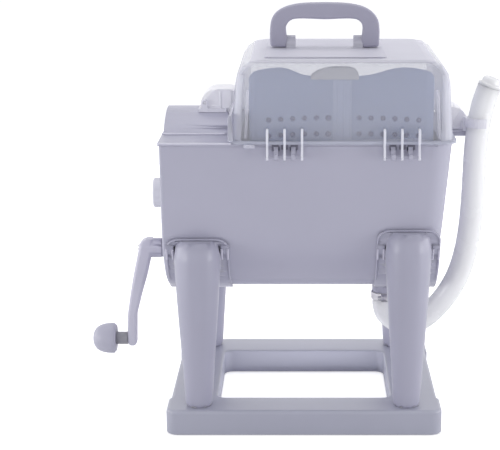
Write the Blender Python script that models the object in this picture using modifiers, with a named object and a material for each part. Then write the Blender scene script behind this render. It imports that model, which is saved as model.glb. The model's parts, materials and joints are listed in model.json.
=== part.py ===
"""A hand-cranked washing machine on a four-legged stand.

Metres, +Z up. The front faces -Y, the crank is at -X and the drain hose at +X.
Places along X are measured from the middle of the stand, and the whole machine is then
shifted so that its origin lies under the middle of its outer box.
"""
import math

import bmesh
import bpy
from mathutils import Matrix, Vector

# Clearances
GAP = 0.0003
RUNNING = 0.0004
OVERRUN = 0.004
MERGE_DISTANCE = 0.000001

# Stand
BASE_WIDTH = 0.350
BASE_DEPTH = 0.302
BASE_HEIGHT = 0.032
BASE_FRONT_BAR = 0.052
BASE_REAR_BAR = 0.056
BASE_SIDE_RAIL = 0.0625
BASE_RAIL_INSET = 0.0028
BASE_CORNER_RADIUS = 0.014
BASE_OPENING_RADIUS = 0.012
BASE_EDGE_RADIUS = 0.004
PAD_RADIUS = 0.009
PAD_THICKNESS = 0.0025
PAD_PROUD = 0.001
PAD_INSET_X = 0.017
PAD_INSET_Y = 0.026

# Trough of the tub, its axis and rim
AXIS_HEIGHT = 0.283
TROUGH_RADIUS = 0.1214
RIM_RISE = 0.089
RIM_HALF_DEPTH = 0.133
TUB_LEFT = -0.178
TUB_RIGHT = 0.184
TUB_TAPER = 0.017
TUB_WALL = 0.0028
TUB_LEFT_RADIUS = 0.004
TUB_RIGHT_RADIUS = 0.028
TROUGH_STEPS = 18
DECK_THICKNESS = 0.0027
DECK_LIP = 0.002
DECK_OPENING_LEFT = -0.080
DECK_OPENING_RIGHT = 0.168
DECK_OPENING_HALF_DEPTH = 0.113
DECK_OPENING_RADIUS = 0.016

# Arched gear housing on the deck's left end
ARCH_RADIUS = 0.115
ARCH_LEFT = -0.1775
ARCH_RIGHT = -0.097
ARCH_WALL = 0.0025
ARCH_PLINTH = 0.004
ARCH_LEDGE = 0.002
ARCH_STEPS = 20

# Legs and their saddles
LEG_LEFT_X = -0.134
LEG_RIGHT_X = 0.131
LEG_SETBACK = 0.027
LEG_FOOT_RADIUS = 0.0173
LEG_TOP_HALF_WIDTH = 0.0297
LEG_TOP_HALF_DEPTH = 0.031
LEG_TOP_SETBACK = 0.036
LEG_LEFT_DROP = 0.0365
LEG_RIGHT_DROP = 0.0245
LEG_RING_POINTS = 24
SADDLE_THICKNESS = 0.0032
SADDLE_HALF_WIDTH = 0.0400
SADDLE_INNER_REACH = 0.026
SADDLE_CORNER_RADIUS = 0.0150
CLIP_WIDTH = 0.0090
CLIP_HEIGHT = 0.0130
CLIP_THICKNESS = 0.0025
CLIP_OFFSET = 0.0345
CLIP_DROP = 0.046
NOTCH_WIDTH = 0.0030
NOTCH_LENGTH = 0.0090
NOTCH_OFFSET = 0.0278
LEG_SCREW_RADIUS = 0.0024
LEG_SCREW_HEAD_RADIUS = 0.0046
LEG_SCREW_HEAD_HEIGHT = 0.003
LEG_SCREW_RECESS = 0.010
LEG_SCREW_REACH = 0.016

# Shares of the leg's height, width, depth and setback from foot to shoulder
LEG_HEIGHT_SHARES = (0.0, 0.018, 0.35, 0.63, 0.89, 0.965, 1.0)
LEG_WIDTH_SHARES = (-0.10, 0.0, 0.38, 0.72, 1.0, 0.82, 0.40)
LEG_DEPTH_SHARES = (-0.08, 0.0, 0.25, 0.58, 1.0, 0.88, 0.60)
LEG_SETBACK_SHARES = (0.0, 0.0, 0.18, 0.50, 1.0, 1.05, 1.45)

# Lid
LID_CENTRE_X = 0.0474
LID_HALF_WIDTH = 0.1399
LID_HALF_DEPTH = 0.139
LID_HEIGHT = 0.1010
LID_WALL = 0.002
LID_FLANGE_HEIGHT = 0.0035
LID_FLANGE_WIDTH = 0.0042
LID_DRAFT = 0.0045
LID_SIDE_ROUND = 0.028
LID_FRONT_ROUND = 0.012
LID_CORNER_RADIUS = 0.018
LID_CORNER_STEPS = 5

# Lid hinges at the front
HINGE_LEFT_X = -0.0236
HINGE_RIGHT_X = 0.1194
HINGE_RIB_PITCH = 0.0212
HINGE_RIB_THICKNESS = 0.0028
HINGE_AXIS_SETBACK = 0.0065
HINGE_AXIS_DROP = 0.0145
HINGE_PIN_RADIUS = 0.0015
HINGE_EYE_RADIUS = 0.0040
HINGE_RIB_TOP = 0.0205
HINGE_LUG_WIDTH = 0.0055
HINGE_SLOT_WIDTH = 0.0086
HINGE_SLOT_HEIGHT = 0.0052
HINGE_PIN_OVERHANG = 0.0012

# Carrying handle on the lid
HANDLE_CENTRE_X = 0.0264
HANDLE_HALF_WIDTH = 0.0704
HANDLE_ARM_WIDTH = 0.0206
HANDLE_GRIP_HEIGHT = 0.0215
HANDLE_DEPTH = 0.018
HANDLE_RISE = 0.0470
HANDLE_FOOT = 0.0092
HANDLE_FOOT_GAP = 0.0016
HANDLE_OUTER_RADIUS = 0.028
HANDLE_INNER_RADIUS = 0.009
HANDLE_EDGE_RADIUS = 0.0062
HANDLE_CROWN = 0.0018
HANDLE_BELLY = 0.0010
SOCKET_WIDTH = 0.150
SOCKET_DEPTH = 0.205
SOCKET_THICKNESS = 0.0015
SOCKET_RADIUS = 0.008
EAR_WIDTH = 0.012
EAR_LENGTH = 0.024
EAR_HEIGHT = 0.0165
EAR_RADIUS = 0.0055
HANDLE_PIN_RADIUS = 0.0025
HANDLE_PIN_LENGTH = 0.028
HANDLE_SIDE_GAP = 0.0006

# Lid locks
LOCK_HALF_WIDTH = 0.026
LOCK_WALL = 0.002
LOCK_LEFT_OUTER = -0.133
LOCK_LEFT_INNER = -0.0932
LOCK_LEFT_RADIUS = 0.019
LOCK_LEFT_TOP = 0.140
LOCK_LEFT_BASE = 0.120
LOCK_RIGHT_OUTER = 0.2110
LOCK_RIGHT_INNER = 0.1888
LOCK_RIGHT_RADIUS = 0.019
LOCK_RIGHT_TOP = 0.1175
LOCK_RIGHT_BASE = 0.0950
LOCK_PIVOT_INSET = 0.0055
LOCK_PIVOT_RISE = 0.0040
LOCK_LIP = 0.006
LOCK_PIN_RADIUS = 0.0015
LOCK_EAR_RADIUS = 0.0038
LOCK_EAR_WIDTH = 0.0026
LOCK_SIDE_GAP = 0.0004
LOCK_SEAT_CLEARANCE = 0.0035
SEAT_REACH = 0.0025
SHELF_REACH = 0.0265
SHELF_THICKNESS = 0.006
SHELF_FRONT = 0.041
SHELF_BACK = 0.029

# Basket in the wash space
BASKET_LEFT = -0.068
BASKET_RIGHT = 0.161
BASKET_RADIUS = 0.108
BASKET_WALL = 0.002
BASKET_CORNER_RADIUS = 0.012
BASKET_FRONT_RISE = 0.1796
BASKET_REAR_RISE = 0.1315
BASKET_DIP_DEPTH = 0.0105
BASKET_END_DROP = 0.0043
BASKET_CORNER_DROP = 0.0120
BASKET_LOBE_LEFT_X = -0.0294
BASKET_LOBE_RIGHT_X = 0.1236
BASKET_STEPS = 16
BASKET_CENTRE_X = 0.0490
HOLE_RADIUS = 0.0032
HOLE_PITCH_X = 0.0147
HOLE_INNER_X = 0.0190
HOLE_PITCH_Z = 0.020
HOLE_TOP_RISE = 0.1176
HOLE_ROW_SAG = 0.0030
HOLES_PER_SIDE = 6
HOLE_ROWS = 2
DRAIN_HOLE_PITCH = 0.0294
DRAIN_HOLE_OFFSET = 0.016
BAND_CENTRE_X = 0.0471
BAND_HALF_WIDTH = 0.0116
BAND_THICKNESS = 0.0012
BAND_TOP_DROP = 0.005
BASKET_LUG_WIDTH = 0.022
BASKET_LUG_REACH = 0.005
BASKET_LUG_THICKNESS = 0.003
BASKET_LUG_OFFSET = 0.086
GRIP_X = 0.0379
GRIP_HALF_WIDTH = 0.0294
GRIP_HEIGHT = 0.0117
GRIP_THICKNESS = 0.0075
GRIP_OVERLAP = 0.004
GRIP_SIDE_ROOM = 0.001

# Shares of the grip's half width and of its height above the rim, right to left
GRIP_SHARES = ((1.0, 0.0), (0.97, 0.35), (0.85, 0.74), (0.62, 0.94), (0.30, 1.0), (-0.10, 0.96),
               (-0.45, 0.82), (-0.75, 0.55), (-0.95, 0.20), (-1.0, 0.0))

# Gears and shafts
GEAR_MODULE = 0.003
GEAR_TEETH = 25
GEAR_WIDTH = 0.010
GEAR_LEFT = -0.152
GEAR_BACKLASH = 0.0005
GEAR_TIP_SHARE = 0.92
GEAR_ROOT_SHARE = 1.25
PRESSURE_ANGLE = 20.0
CRANK_SHAFT_RADIUS = 0.006
PULSATOR_SHAFT_RADIUS = 0.005
PARTITION_LEFT = -0.0975
PARTITION_THICKNESS = 0.003
POCKET_DEPTH = 0.008
POCKET_WALL = 0.005
BUSH_RADIUS = 0.009
BUSH_REACH = 0.010
BUSH_COLLAR_RADIUS = 0.0125
BUSH_COLLAR_LENGTH = 0.011
BOSS_RADIUS = 0.0197
BOSS_LENGTH = 0.0208
BOSS_WALL = 0.006
BOSS_BUSH_LENGTH = 0.008
SEAL_RADIUS = 0.011
SEAL_LENGTH = 0.006

# Pulsator in the wash space
PULSATOR_RADIUS = 0.075
PULSATOR_LEFT = -0.0905
PULSATOR_THICKNESS = 0.005
PULSATOR_HUB_RADIUS = 0.013
PULSATOR_HUB_LENGTH = 0.0135
VANE_COUNT = 4
VANE_HEIGHT = 0.010
VANE_THICKNESS = 0.006
VANE_OUTER = 0.066
NUT_RADIUS = 0.0085
NUT_LENGTH = 0.005

# Crank on the left
HUB_RADIUS = 0.0130
HUB_RIGHT = -0.1895
ARM_TOP_X = -0.2105
ARM_FOOT_X = -0.2318
ARM_TOP_THICKNESS = 0.0185
ARM_FOOT_THICKNESS = 0.0122
ARM_TOP_WIDTH = 0.026
ARM_FOOT_WIDTH = 0.0185
ARM_SHOULDER = 0.0130
ARM_OVERHANG = 0.010
ARM_ROUND = 0.0125
CRANK_RADIUS = 0.1262
CRANK_SCREW_RADIUS = 0.002
CRANK_SCREW_HEAD_RADIUS = 0.0045
CRANK_SCREW_HEAD_HEIGHT = 0.0028
CRANK_SCREW_LENGTH = 0.034
CRANK_SCREW_RECESS = 0.0015
SPINDLE_RADIUS = 0.004
SPINDLE_LENGTH = 0.023
SPINDLE_TAIL = 0.006
COLLAR_RADIUS = 0.0085
COLLAR_LENGTH = 0.0155
KNOB_RADIUS = 0.0206
KNOB_LENGTH = 0.0312
KNOB_EDGE = 0.003

# Shares of the crank arm from its hub to its foot: how far down, how far out, how much thinner
ARM_HEIGHT_SHARES = (0.0, 0.30, 0.515, 0.73, 1.0)
ARM_LEAN_SHARES = (0.0, 0.395, 0.695, 0.957, 1.0)
ARM_TAPER_SHARES = (0.0, 0.05, 0.55, 1.0, 1.0)
ARM_CORNER_SHARE = 0.55
CRANK_SCREW_CROWN_SHARE = 0.7
KNOB_FULLNESS_SHARE = 0.76

# Drain at the trough's bottom
DRAIN_X = 0.1055
DRAIN_Y = -0.030
SPOUT_BORE = 0.0085
SPOUT_RADIUS = 0.0110
SPOUT_SADDLE_RADIUS = 0.0155
SPOUT_SADDLE_DEPTH = 0.0045
SPOUT_LENGTH = 0.0101
CUFF_RADIUS = 0.0150
CLAMP_WALL = 0.0015
CLAMP_HEIGHT = 0.009
CLAMP_TOP_GAP = 0.0006
CLAMP_EAR_LENGTH = 0.009
CLAMP_EAR_HEIGHT = 0.008
CLAMP_EAR_THICKNESS = 0.006
CLAMP_SCREW_RADIUS = 0.0028
CLAMP_SCREW_HEAD = 0.004
STRAINER_RADIUS = 0.014
STRAINER_THICKNESS = 0.0015
STRAINER_HOLE_RADIUS = 0.0018
STRAINER_HOLE_CIRCLE = 0.0052
STRAINER_HOLES = 6

# Drain hose: centre line from the cuff to the end fitting, its heights measured from the trough's axis
HOSE_RADIUS = 0.0150
HOSE_ROUTE = (
    (0.1055, -0.0300, -0.1363),
    (0.1055, -0.0300, -0.1402),
    (0.1055, -0.0300, -0.1445),
    (0.1083, -0.0301, -0.1545),
    (0.1150, -0.0305, -0.1626),
    (0.1248, -0.0311, -0.1682),
    (0.1370, -0.0320, -0.1699),
    (0.1503, -0.0332, -0.1667),
    (0.1645, -0.0346, -0.1568),
    (0.1790, -0.0365, -0.1410),
    (0.1925, -0.0385, -0.1210),
    (0.2032, -0.0405, -0.0975),
    (0.2106, -0.0420, -0.0695),
    (0.2152, -0.0435, -0.0380),
    (0.2176, -0.0447, -0.0030),
    (0.2187, -0.0458, 0.0340),
    (0.2200, -0.0466, 0.0700),
    (0.2232, -0.0470, 0.1020),
    (0.2285, -0.0470, 0.1270),
    (0.2350, -0.0470, 0.1470),
)
HOSE_STEPS = 2
FITTING_COLLAR_RADIUS = 0.0150
FITTING_COLLAR_LENGTH = 0.004
FITTING_NECK_RADIUS = 0.0118
FITTING_LENGTH = 0.012
FITTING_BORE = 0.0085
HOSE_CLIP_WALL = 0.0026
HOSE_CLIP_HEIGHT = 0.012
HOSE_CLIP_RISE = 0.0130
HOSE_CLIP_OPEN = 130.0
HOSE_CLIP_STEM = 0.007
HOSE_CLIP_STEM_ANGLE = 150.0
HOSE_CLIP_STEM_REACH = 0.0035

# Worked out from the sizes above
BASE_TOP = PAD_PROUD + BASE_HEIGHT
RIM_HEIGHT = AXIS_HEIGHT + RIM_RISE
WALL_LEAN = (math.acos(TROUGH_RADIUS / math.hypot(RIM_HALF_DEPTH, RIM_RISE))
             - math.atan2(RIM_RISE, RIM_HALF_DEPTH))
TUB_TOP = RIM_RISE - DECK_THICKNESS - GAP - TUB_WALL * math.tan(WALL_LEAN)
TROUGH_FLAT = TROUGH_RADIUS * math.cos((math.pi / 2 - WALL_LEAN) / TROUGH_STEPS)
HINGE_Y = -(RIM_HALF_DEPTH + DECK_LIP + LID_HALF_DEPTH) / 2 - HINGE_AXIS_SETBACK
HINGE_Z = RIM_HEIGHT - HINGE_AXIS_DROP
LID_TOP = RIM_HEIGHT + LID_HEIGHT
HANDLE_Z = LID_TOP + GAP + SOCKET_THICKNESS + HANDLE_FOOT + HANDLE_FOOT_GAP
CRANK_Z = AXIS_HEIGHT - GEAR_MODULE * GEAR_TEETH
KNOB_Z = CRANK_Z - CRANK_RADIUS
KNOB_RIGHT = ARM_FOOT_X - ARM_FOOT_THICKNESS / 2 - COLLAR_LENGTH - GAP
KNOB_LEFT = KNOB_RIGHT - KNOB_LENGTH
SPOUT_END = AXIS_HEIGHT - TROUGH_RADIUS - SPOUT_SADDLE_DEPTH - SPOUT_LENGTH
HOSE_CLIP_RADIUS = HOSE_RADIUS + GAP + HOSE_CLIP_WALL
SEAT_HALF_WIDTH = LOCK_HALF_WIDTH + LOCK_SIDE_GAP + LOCK_EAR_WIDTH
GRIP_FLAT = GRIP_HALF_WIDTH + GRIP_SIDE_ROOM

# Turns that lay an outline drawn in a piece's own X and Y into the machine
UPRIGHT_SIDE = (math.radians(90), 0.0, math.radians(90))
UPRIGHT_FRONT = (math.radians(90), 0.0, 0.0)
FLAT = (0.0, 0.0, 0.0)
ALONG_X = (0.0, math.radians(90), 0.0)
ALONG_Y = (math.radians(-90), 0.0, 0.0)

CORNERS = ("front_left", "front_right", "rear_left", "rear_right")

COLOURS = {
    "body": ((0.390, 0.385, 0.465), 0.42, 0.0),
    "stand": ((0.330, 0.330, 0.400), 0.45, 0.0),
    "leg": ((0.370, 0.365, 0.440), 0.40, 0.0),
    "pale": ((0.620, 0.620, 0.700), 0.40, 0.0),
    "lid": ((0.620, 0.630, 0.700), 0.25, 0.0),
    "handle": ((0.330, 0.325, 0.410), 0.45, 0.0),
    "basket": ((0.330, 0.370, 0.450), 0.50, 0.0),
    "grip": ((0.300, 0.300, 0.310), 0.55, 0.0),
    "white": ((0.800, 0.800, 0.840), 0.45, 0.0),
    "rubber": ((0.060, 0.060, 0.065), 0.80, 0.0),
    "steel": ((0.560, 0.560, 0.570), 0.30, 1.0),
    "hose": ((0.780, 0.780, 0.820), 0.35, 0.0),
}


def clear_scene():
    """Empties the file before the machine is built."""
    for obj in list(bpy.data.objects):
        bpy.data.objects.remove(obj, do_unlink=True)
    for group in list(bpy.data.collections):
        bpy.data.collections.remove(group)


clear_scene()
MACHINE = bpy.data.collections.new("hand_washing_machine")
CUTTERS = bpy.data.collections.new("cutters")
bpy.context.scene.collection.children.link(MACHINE)
bpy.context.scene.collection.children.link(CUTTERS)
AXES = {}


def material(name, finish):
    """Makes a plain material of one of the machine's finishes."""
    colour, roughness, metallic = COLOURS[finish]
    made = bpy.data.materials.new(name)
    made.use_nodes = True
    shader = made.node_tree.nodes["Principled BSDF"]
    shader.inputs["Base Color"].default_value = (*colour, 1.0)
    shader.inputs["Roughness"].default_value = roughness
    shader.inputs["Metallic"].default_value = metallic
    made.diffuse_color = (*colour, 1.0)
    return made


def axis_empty(name, place):
    """An empty at a place of the machine, which carries the pieces of one moving body."""
    empty = bpy.data.objects.new(name, None)
    MACHINE.objects.link(empty)
    empty.empty_display_size = AXIS_HEIGHT
    if name == "machine":
        empty.location = (-machine_middle(), 0.0, 0.0)
    else:
        empty.parent = AXES["machine"][0]
        empty.location = place
    AXES[name] = (empty, Vector(place))


def put(obj, place=(0.0, 0.0, 0.0), turn=FLAT, on="machine"):
    """Parents an object to an axis and puts it at a place given in the machine's own places."""
    empty, start = AXES[on]
    obj.parent = empty
    obj.location = Vector(place) - (start if on != "machine" else Vector())
    obj.rotation_euler = turn
    return obj


def shade(mesh, angle=35.0):
    """Shades a mesh smooth, with its sharp edges kept."""
    mesh.shade_smooth()
    mesh.set_sharp_from_angle(angle=math.radians(angle))


def piece(name, mesh, finish):
    """Links a mesh as one named sub-part with its own material."""
    obj = bpy.data.objects.new(name, mesh)
    mesh.materials.append(material(name, finish))
    MACHINE.objects.link(obj)
    return obj


def guide(name, mesh):
    """Links a mesh as a cutter or a shape to be joined, which is not a piece itself."""
    obj = bpy.data.objects.new(name, mesh)
    CUTTERS.objects.link(obj)
    obj.hide_render = True
    obj.display_type = "WIRE"
    return obj


def boolean(obj, other, operation):
    """Joins another shape to an object, cuts it away or keeps what both hold."""
    modifier = obj.modifiers.new(other.name, "BOOLEAN")
    modifier.operation = operation
    modifier.solver = "EXACT"
    modifier.object = other
    return obj


def bevel(obj, width, segments=2, angle=40.0):
    """Rounds an object's sharp edges."""
    modifier = obj.modifiers.new("rounded edges", "BEVEL")
    modifier.width = width
    modifier.segments = segments
    modifier.limit_method = "ANGLE"
    modifier.angle_limit = math.radians(angle)
    return obj


def thicken(obj, wall):
    """Gives an open surface its wall, on its inner side."""
    modifier = obj.modifiers.new("wall", "SOLIDIFY")
    modifier.thickness = wall
    modifier.offset = -1.0
    modifier.use_even_offset = True
    return obj


def mesh_from(name, bm, angle=35.0):
    """Turns a bmesh into a shaded mesh."""
    mesh = bpy.data.meshes.new(name)
    bm.to_mesh(mesh)
    bm.free()
    shade(mesh, angle)
    return mesh


def box_mesh(name, size, places=((0.0, 0.0, 0.0),)):
    """One box, or a group of equal boxes, each centred on a place."""
    bm = bmesh.new()
    for place in places:
        matrix = Matrix.Translation(place) @ Matrix.Diagonal((*size, 1.0))
        bmesh.ops.create_cube(bm, size=1.0, matrix=matrix)
    return mesh_from(name, bm)


def rod_mesh(name, radius, length, places=((0.0, 0.0, 0.0),), sides=24, clearance=0.0):
    """One rod along its own Z, or a group of equal rods, each centred on a place.

    A rod with a clearance is a cutter, whose flats stand clear of the round thing it makes room for.
    """
    if clearance > 0.0:
        radius = (radius + clearance) / math.cos(math.pi / sides)
    bm = bmesh.new()
    for place in places:
        bmesh.ops.create_cone(bm, cap_ends=True, segments=sides, radius1=radius, radius2=radius,
                              depth=length, matrix=Matrix.Translation(place))
    return mesh_from(name, bm)


def turned_mesh(name, profile, sides=32):
    """A profile of (radius, height) points, top to bottom, turned about its own Z."""
    mesh = bpy.data.meshes.new(name + "_profile")
    points = [(radius, 0.0, height) for radius, height in profile]
    closed = profile[0][0] > 0.0 or profile[-1][0] > 0.0
    edges = [(i, i + 1) for i in range(len(points) - 1)]
    if closed:
        edges.append((len(points) - 1, 0))
    mesh.from_pydata(points, edges, [])
    turner = bpy.data.objects.new(name + "_turner", mesh)
    CUTTERS.objects.link(turner)
    modifier = turner.modifiers.new("turned", "SCREW")
    modifier.steps = sides
    modifier.render_steps = sides
    modifier.use_merge_vertices = True
    modifier.merge_threshold = MERGE_DISTANCE
    modifier.use_normal_calculate = True
    made = evaluated_mesh(turner)
    bm = bmesh.new()
    bm.from_mesh(made)
    bmesh.ops.recalc_face_normals(bm, faces=bm.faces)
    return mesh_from(name, bm)


def evaluated_mesh(obj):
    """Takes an object's final shape as a mesh and removes the object."""
    bpy.context.view_layer.update()
    mesh = bpy.data.meshes.new_from_object(obj.evaluated_get(bpy.context.evaluated_depsgraph_get()))
    bpy.data.objects.remove(obj, do_unlink=True)
    return mesh


def flat_mesh(name, outlines, thickness):
    """Closed outlines in X and Y, the first outer and the others holes, given a thickness along Z."""
    curve = bpy.data.curves.new(name, "CURVE")
    curve.dimensions = "2D"
    curve.fill_mode = "BOTH"
    curve.extrude = thickness / 2
    for outline in outlines:
        spline = curve.splines.new("POLY")
        spline.points.add(len(outline) - 1)
        for point, (x, y) in zip(spline.points, outline):
            point.co = (x, y, 0.0, 1.0)
        spline.use_cyclic_u = True
    holder = bpy.data.objects.new(name + "_outline", curve)
    CUTTERS.objects.link(holder)
    mesh = evaluated_mesh(holder)
    bm = bmesh.new()
    bm.from_mesh(mesh)
    bmesh.ops.remove_doubles(bm, verts=bm.verts, dist=MERGE_DISTANCE)
    if len(outlines) == 1:
        bmesh.ops.dissolve_limit(bm, angle_limit=math.radians(0.2), verts=bm.verts, edges=bm.edges)
    bmesh.ops.recalc_face_normals(bm, faces=bm.faces)
    return mesh_from(name, bm)


def loft_mesh(name, rings, closed_rings, cap_first, cap_last, inside=None):
    """Faces between rings of points, with or without end faces, facing away from an inner point."""
    bm = bmesh.new()
    rows = [[bm.verts.new(point) for point in ring] for ring in rings]
    count = len(rings[0])
    for near, far in zip(rows, rows[1:]):
        for i in range(count if closed_rings else count - 1):
            j = (i + 1) % count
            bm.faces.new((near[i], near[j], far[j], far[i]))
    if cap_first:
        bm.faces.new(list(reversed(rows[0])))
    if cap_last:
        bm.faces.new(rows[-1])
    bmesh.ops.recalc_face_normals(bm, faces=bm.faces)
    if inside is not None:
        bm.normal_update()
        outward = sum((face.calc_center_median() - Vector(inside)).dot(face.normal) * face.calc_area()
                      for face in bm.faces)
        if outward < 0.0:
            bmesh.ops.reverse_faces(bm, faces=bm.faces)
    return mesh_from(name, bm)


def arc(centre, radius, start, end, steps):
    """Points on an arc, angles in degrees."""
    points = []
    for i in range(steps + 1):
        angle = math.radians(start + (end - start) * i / steps)
        points.append((centre[0] + radius * math.cos(angle), centre[1] + radius * math.sin(angle)))
    return points


def rounded_rectangle(left, right, front, back, radius, steps=4):
    """A rectangle's outline with round corners."""
    return (arc((right - radius, back - radius), radius, 0, 90, steps)
            + arc((left + radius, back - radius), radius, 90, 180, steps)
            + arc((left + radius, front + radius), radius, 180, 270, steps)
            + arc((right - radius, front + radius), radius, 270, 360, steps))


def trough_outline(inset, top, steps=TROUGH_STEPS):
    """The tub's section, front rim to rear rim, as (y, z) from the trough's axis, drawn in by inset."""
    radius = TROUGH_RADIUS - inset
    lean = WALL_LEAN
    rim = radius * math.cos(lean) + (top + radius * math.sin(lean)) * math.tan(lean)
    points = [(-rim, top)]
    for i in range(steps + 1):
        angle = math.pi + lean + (math.pi - 2 * lean) * i / steps
        points.append((radius * math.cos(angle), radius * math.sin(angle)))
    points.append((rim, top))
    return points


def end_round(radius, steps):
    """Steps of a rounded end: how far along, and how far the section is drawn in."""
    shares = [math.radians(90.0 * i / steps) for i in range(steps + 1)]
    return [(radius * (1 - math.cos(angle)), radius * (1 - math.sin(angle))) for angle in shares]


def tapered_x(x, z):
    """Place along X of a tub section's point, which leans in below the rim towards the right end."""
    along = (x - TUB_LEFT) / (TUB_RIGHT - TUB_LEFT)
    return x - along * TUB_TAPER * (RIM_RISE - z) / (RIM_RISE + TROUGH_RADIUS)


def base_outline(inset):
    """The stand's outline, drawn in by inset: two bars with slightly narrower rails between them."""
    half = BASE_WIDTH / 2 - inset
    rail = half - BASE_RAIL_INSET
    front = -BASE_DEPTH / 2 + inset
    back = BASE_DEPTH / 2 - inset
    radius = BASE_CORNER_RADIUS - inset
    front_end = -BASE_DEPTH / 2 + BASE_FRONT_BAR
    back_end = BASE_DEPTH / 2 - BASE_REAR_BAR
    right = (arc((half - radius, front + radius), radius, 270, 360, 4)
             + [(half, front_end - BASE_RAIL_INSET), (rail, front_end),
                (rail, back_end), (half, back_end + BASE_RAIL_INSET)]
             + arc((half - radius, back - radius), radius, 0, 90, 4))
    left = [(-x, y) for x, y in reversed(right)]
    return right + left


def stand_rings():
    """Rings of the stand's outer surface, from its flat underside to its rounded top edge."""
    radius = BASE_EDGE_RADIUS
    levels = [(PAD_PROUD, radius / 4), (PAD_PROUD + radius / 4, 0.0)]
    for angle in (0.0, 30.0, 60.0, 90.0):
        turn = math.radians(angle)
        levels.append((BASE_TOP - radius + radius * math.sin(turn), radius * (1 - math.cos(turn))))
    return [[(x, y, height) for x, y in base_outline(inset)] for height, inset in levels]


def leg_places():
    """Corner, place along X, side along Y and drop of the shoulder below the trough's axis, leg by leg."""
    return (
        (CORNERS[0], LEG_LEFT_X, -1, LEG_LEFT_DROP),
        (CORNERS[1], LEG_RIGHT_X, -1, LEG_RIGHT_DROP),
        (CORNERS[2], LEG_LEFT_X, 1, LEG_LEFT_DROP),
        (CORNERS[3], LEG_RIGHT_X, 1, LEG_RIGHT_DROP),
    )


def build_stand():
    """The base frame with the pockets for its pads and leg screws."""
    frame = put(piece("base_frame", loft_mesh("base_frame", stand_rings(), True, True, True), "stand"))
    boolean(frame, stand_opening(), "DIFFERENCE")
    pads = [(x * (BASE_WIDTH / 2 - PAD_INSET_X), y * (BASE_DEPTH / 2 - PAD_INSET_Y), 0.0)
            for y in (-1, 1) for x in (-1, 1)]
    recess = PAD_THICKNESS - PAD_PROUD + GAP + OVERRUN
    pockets = guide("pad_pockets", rod_mesh("pad_pockets", PAD_RADIUS, recess, pads, 20, clearance=GAP))
    boolean(frame, put(pockets, (0.0, 0.0, PAD_PROUD - OVERRUN + recess / 2)), "DIFFERENCE")
    legs = [(x, side * (BASE_DEPTH / 2 - LEG_SETBACK), 0.0) for _, x, side, _ in leg_places()]
    bores = guide("screw_bores", rod_mesh("screw_bores", LEG_SCREW_RADIUS,
                                          BASE_HEIGHT + 2 * OVERRUN, legs, 12, clearance=GAP))
    boolean(frame, put(bores, (0.0, 0.0, PAD_PROUD + BASE_HEIGHT / 2)), "DIFFERENCE")
    sinks = guide("screw_sinks", rod_mesh("screw_sinks", LEG_SCREW_HEAD_RADIUS,
                                          LEG_SCREW_RECESS + OVERRUN, legs, 16, clearance=GAP))
    boolean(frame, put(sinks, (0.0, 0.0, PAD_PROUD + (LEG_SCREW_RECESS - OVERRUN) / 2)), "DIFFERENCE")
    for corner, (x, y, _) in zip(CORNERS, pads):
        name = "foot_pad_" + corner
        pad = piece(name, rod_mesh(name, PAD_RADIUS, PAD_THICKNESS, sides=20), "rubber")
        put(pad, (x, y, PAD_THICKNESS / 2))


def stand_opening():
    """The opening through the middle of the base, widened at its top edge."""
    rings = []
    for height, flare in ((PAD_PROUD - OVERRUN, 0.0), (BASE_TOP - BASE_EDGE_RADIUS / 2, 0.0),
                          (BASE_TOP + OVERRUN, BASE_EDGE_RADIUS / 2 + OVERRUN)):
        side = BASE_WIDTH / 2 - BASE_SIDE_RAIL + flare
        outline = rounded_rectangle(-side, side, -BASE_DEPTH / 2 + BASE_FRONT_BAR - flare,
                                    BASE_DEPTH / 2 - BASE_REAR_BAR + flare, BASE_OPENING_RADIUS + flare)
        rings.append([(x, y, height) for x, y in outline])
    return put(guide("stand_opening", loft_mesh("stand_opening", rings, True, True, True)))


def leg_rings(drop):
    """Rings of a leg that stands at the front, from its foot to its shoulder, about its foot's middle."""
    bottom = BASE_TOP + GAP
    height = AXIS_HEIGHT - drop - bottom
    rings = []
    for rise, wide, deep, back in zip(LEG_HEIGHT_SHARES, LEG_WIDTH_SHARES,
                                      LEG_DEPTH_SHARES, LEG_SETBACK_SHARES):
        half_width = LEG_FOOT_RADIUS + wide * (LEG_TOP_HALF_WIDTH - LEG_FOOT_RADIUS)
        half_depth = LEG_FOOT_RADIUS + deep * (LEG_TOP_HALF_DEPTH - LEG_FOOT_RADIUS)
        middle = back * (LEG_TOP_SETBACK - LEG_SETBACK)
        ring = []
        for i in range(LEG_RING_POINTS):
            angle = 2 * math.pi * i / LEG_RING_POINTS
            ring.append((half_width * math.cos(angle), middle + half_depth * math.sin(angle),
                         bottom + height * rise))
        rings.append(ring)
    return rings


def saddle_mesh(name, drop, side):
    """The plate at a leg's top that follows the trough, as a slice of a ring."""
    outer = TROUGH_RADIUS + GAP + SADDLE_THICKNESS
    inner = TROUGH_RADIUS - SADDLE_THICKNESS
    start = math.degrees(math.asin(SADDLE_INNER_REACH / TROUGH_RADIUS))
    end = math.degrees(math.acos(drop / TROUGH_RADIUS))
    outline = arc((0.0, 0.0), outer, -90 - start, -90 - end, 12)
    outline += arc((0.0, 0.0), inner, -90 - end, -90 - start, 12)
    if side > 0:
        outline = [(-y, z) for y, z in reversed(outline)]
    return flat_mesh(name, [outline], 2 * SADDLE_HALF_WIDTH)


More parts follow.
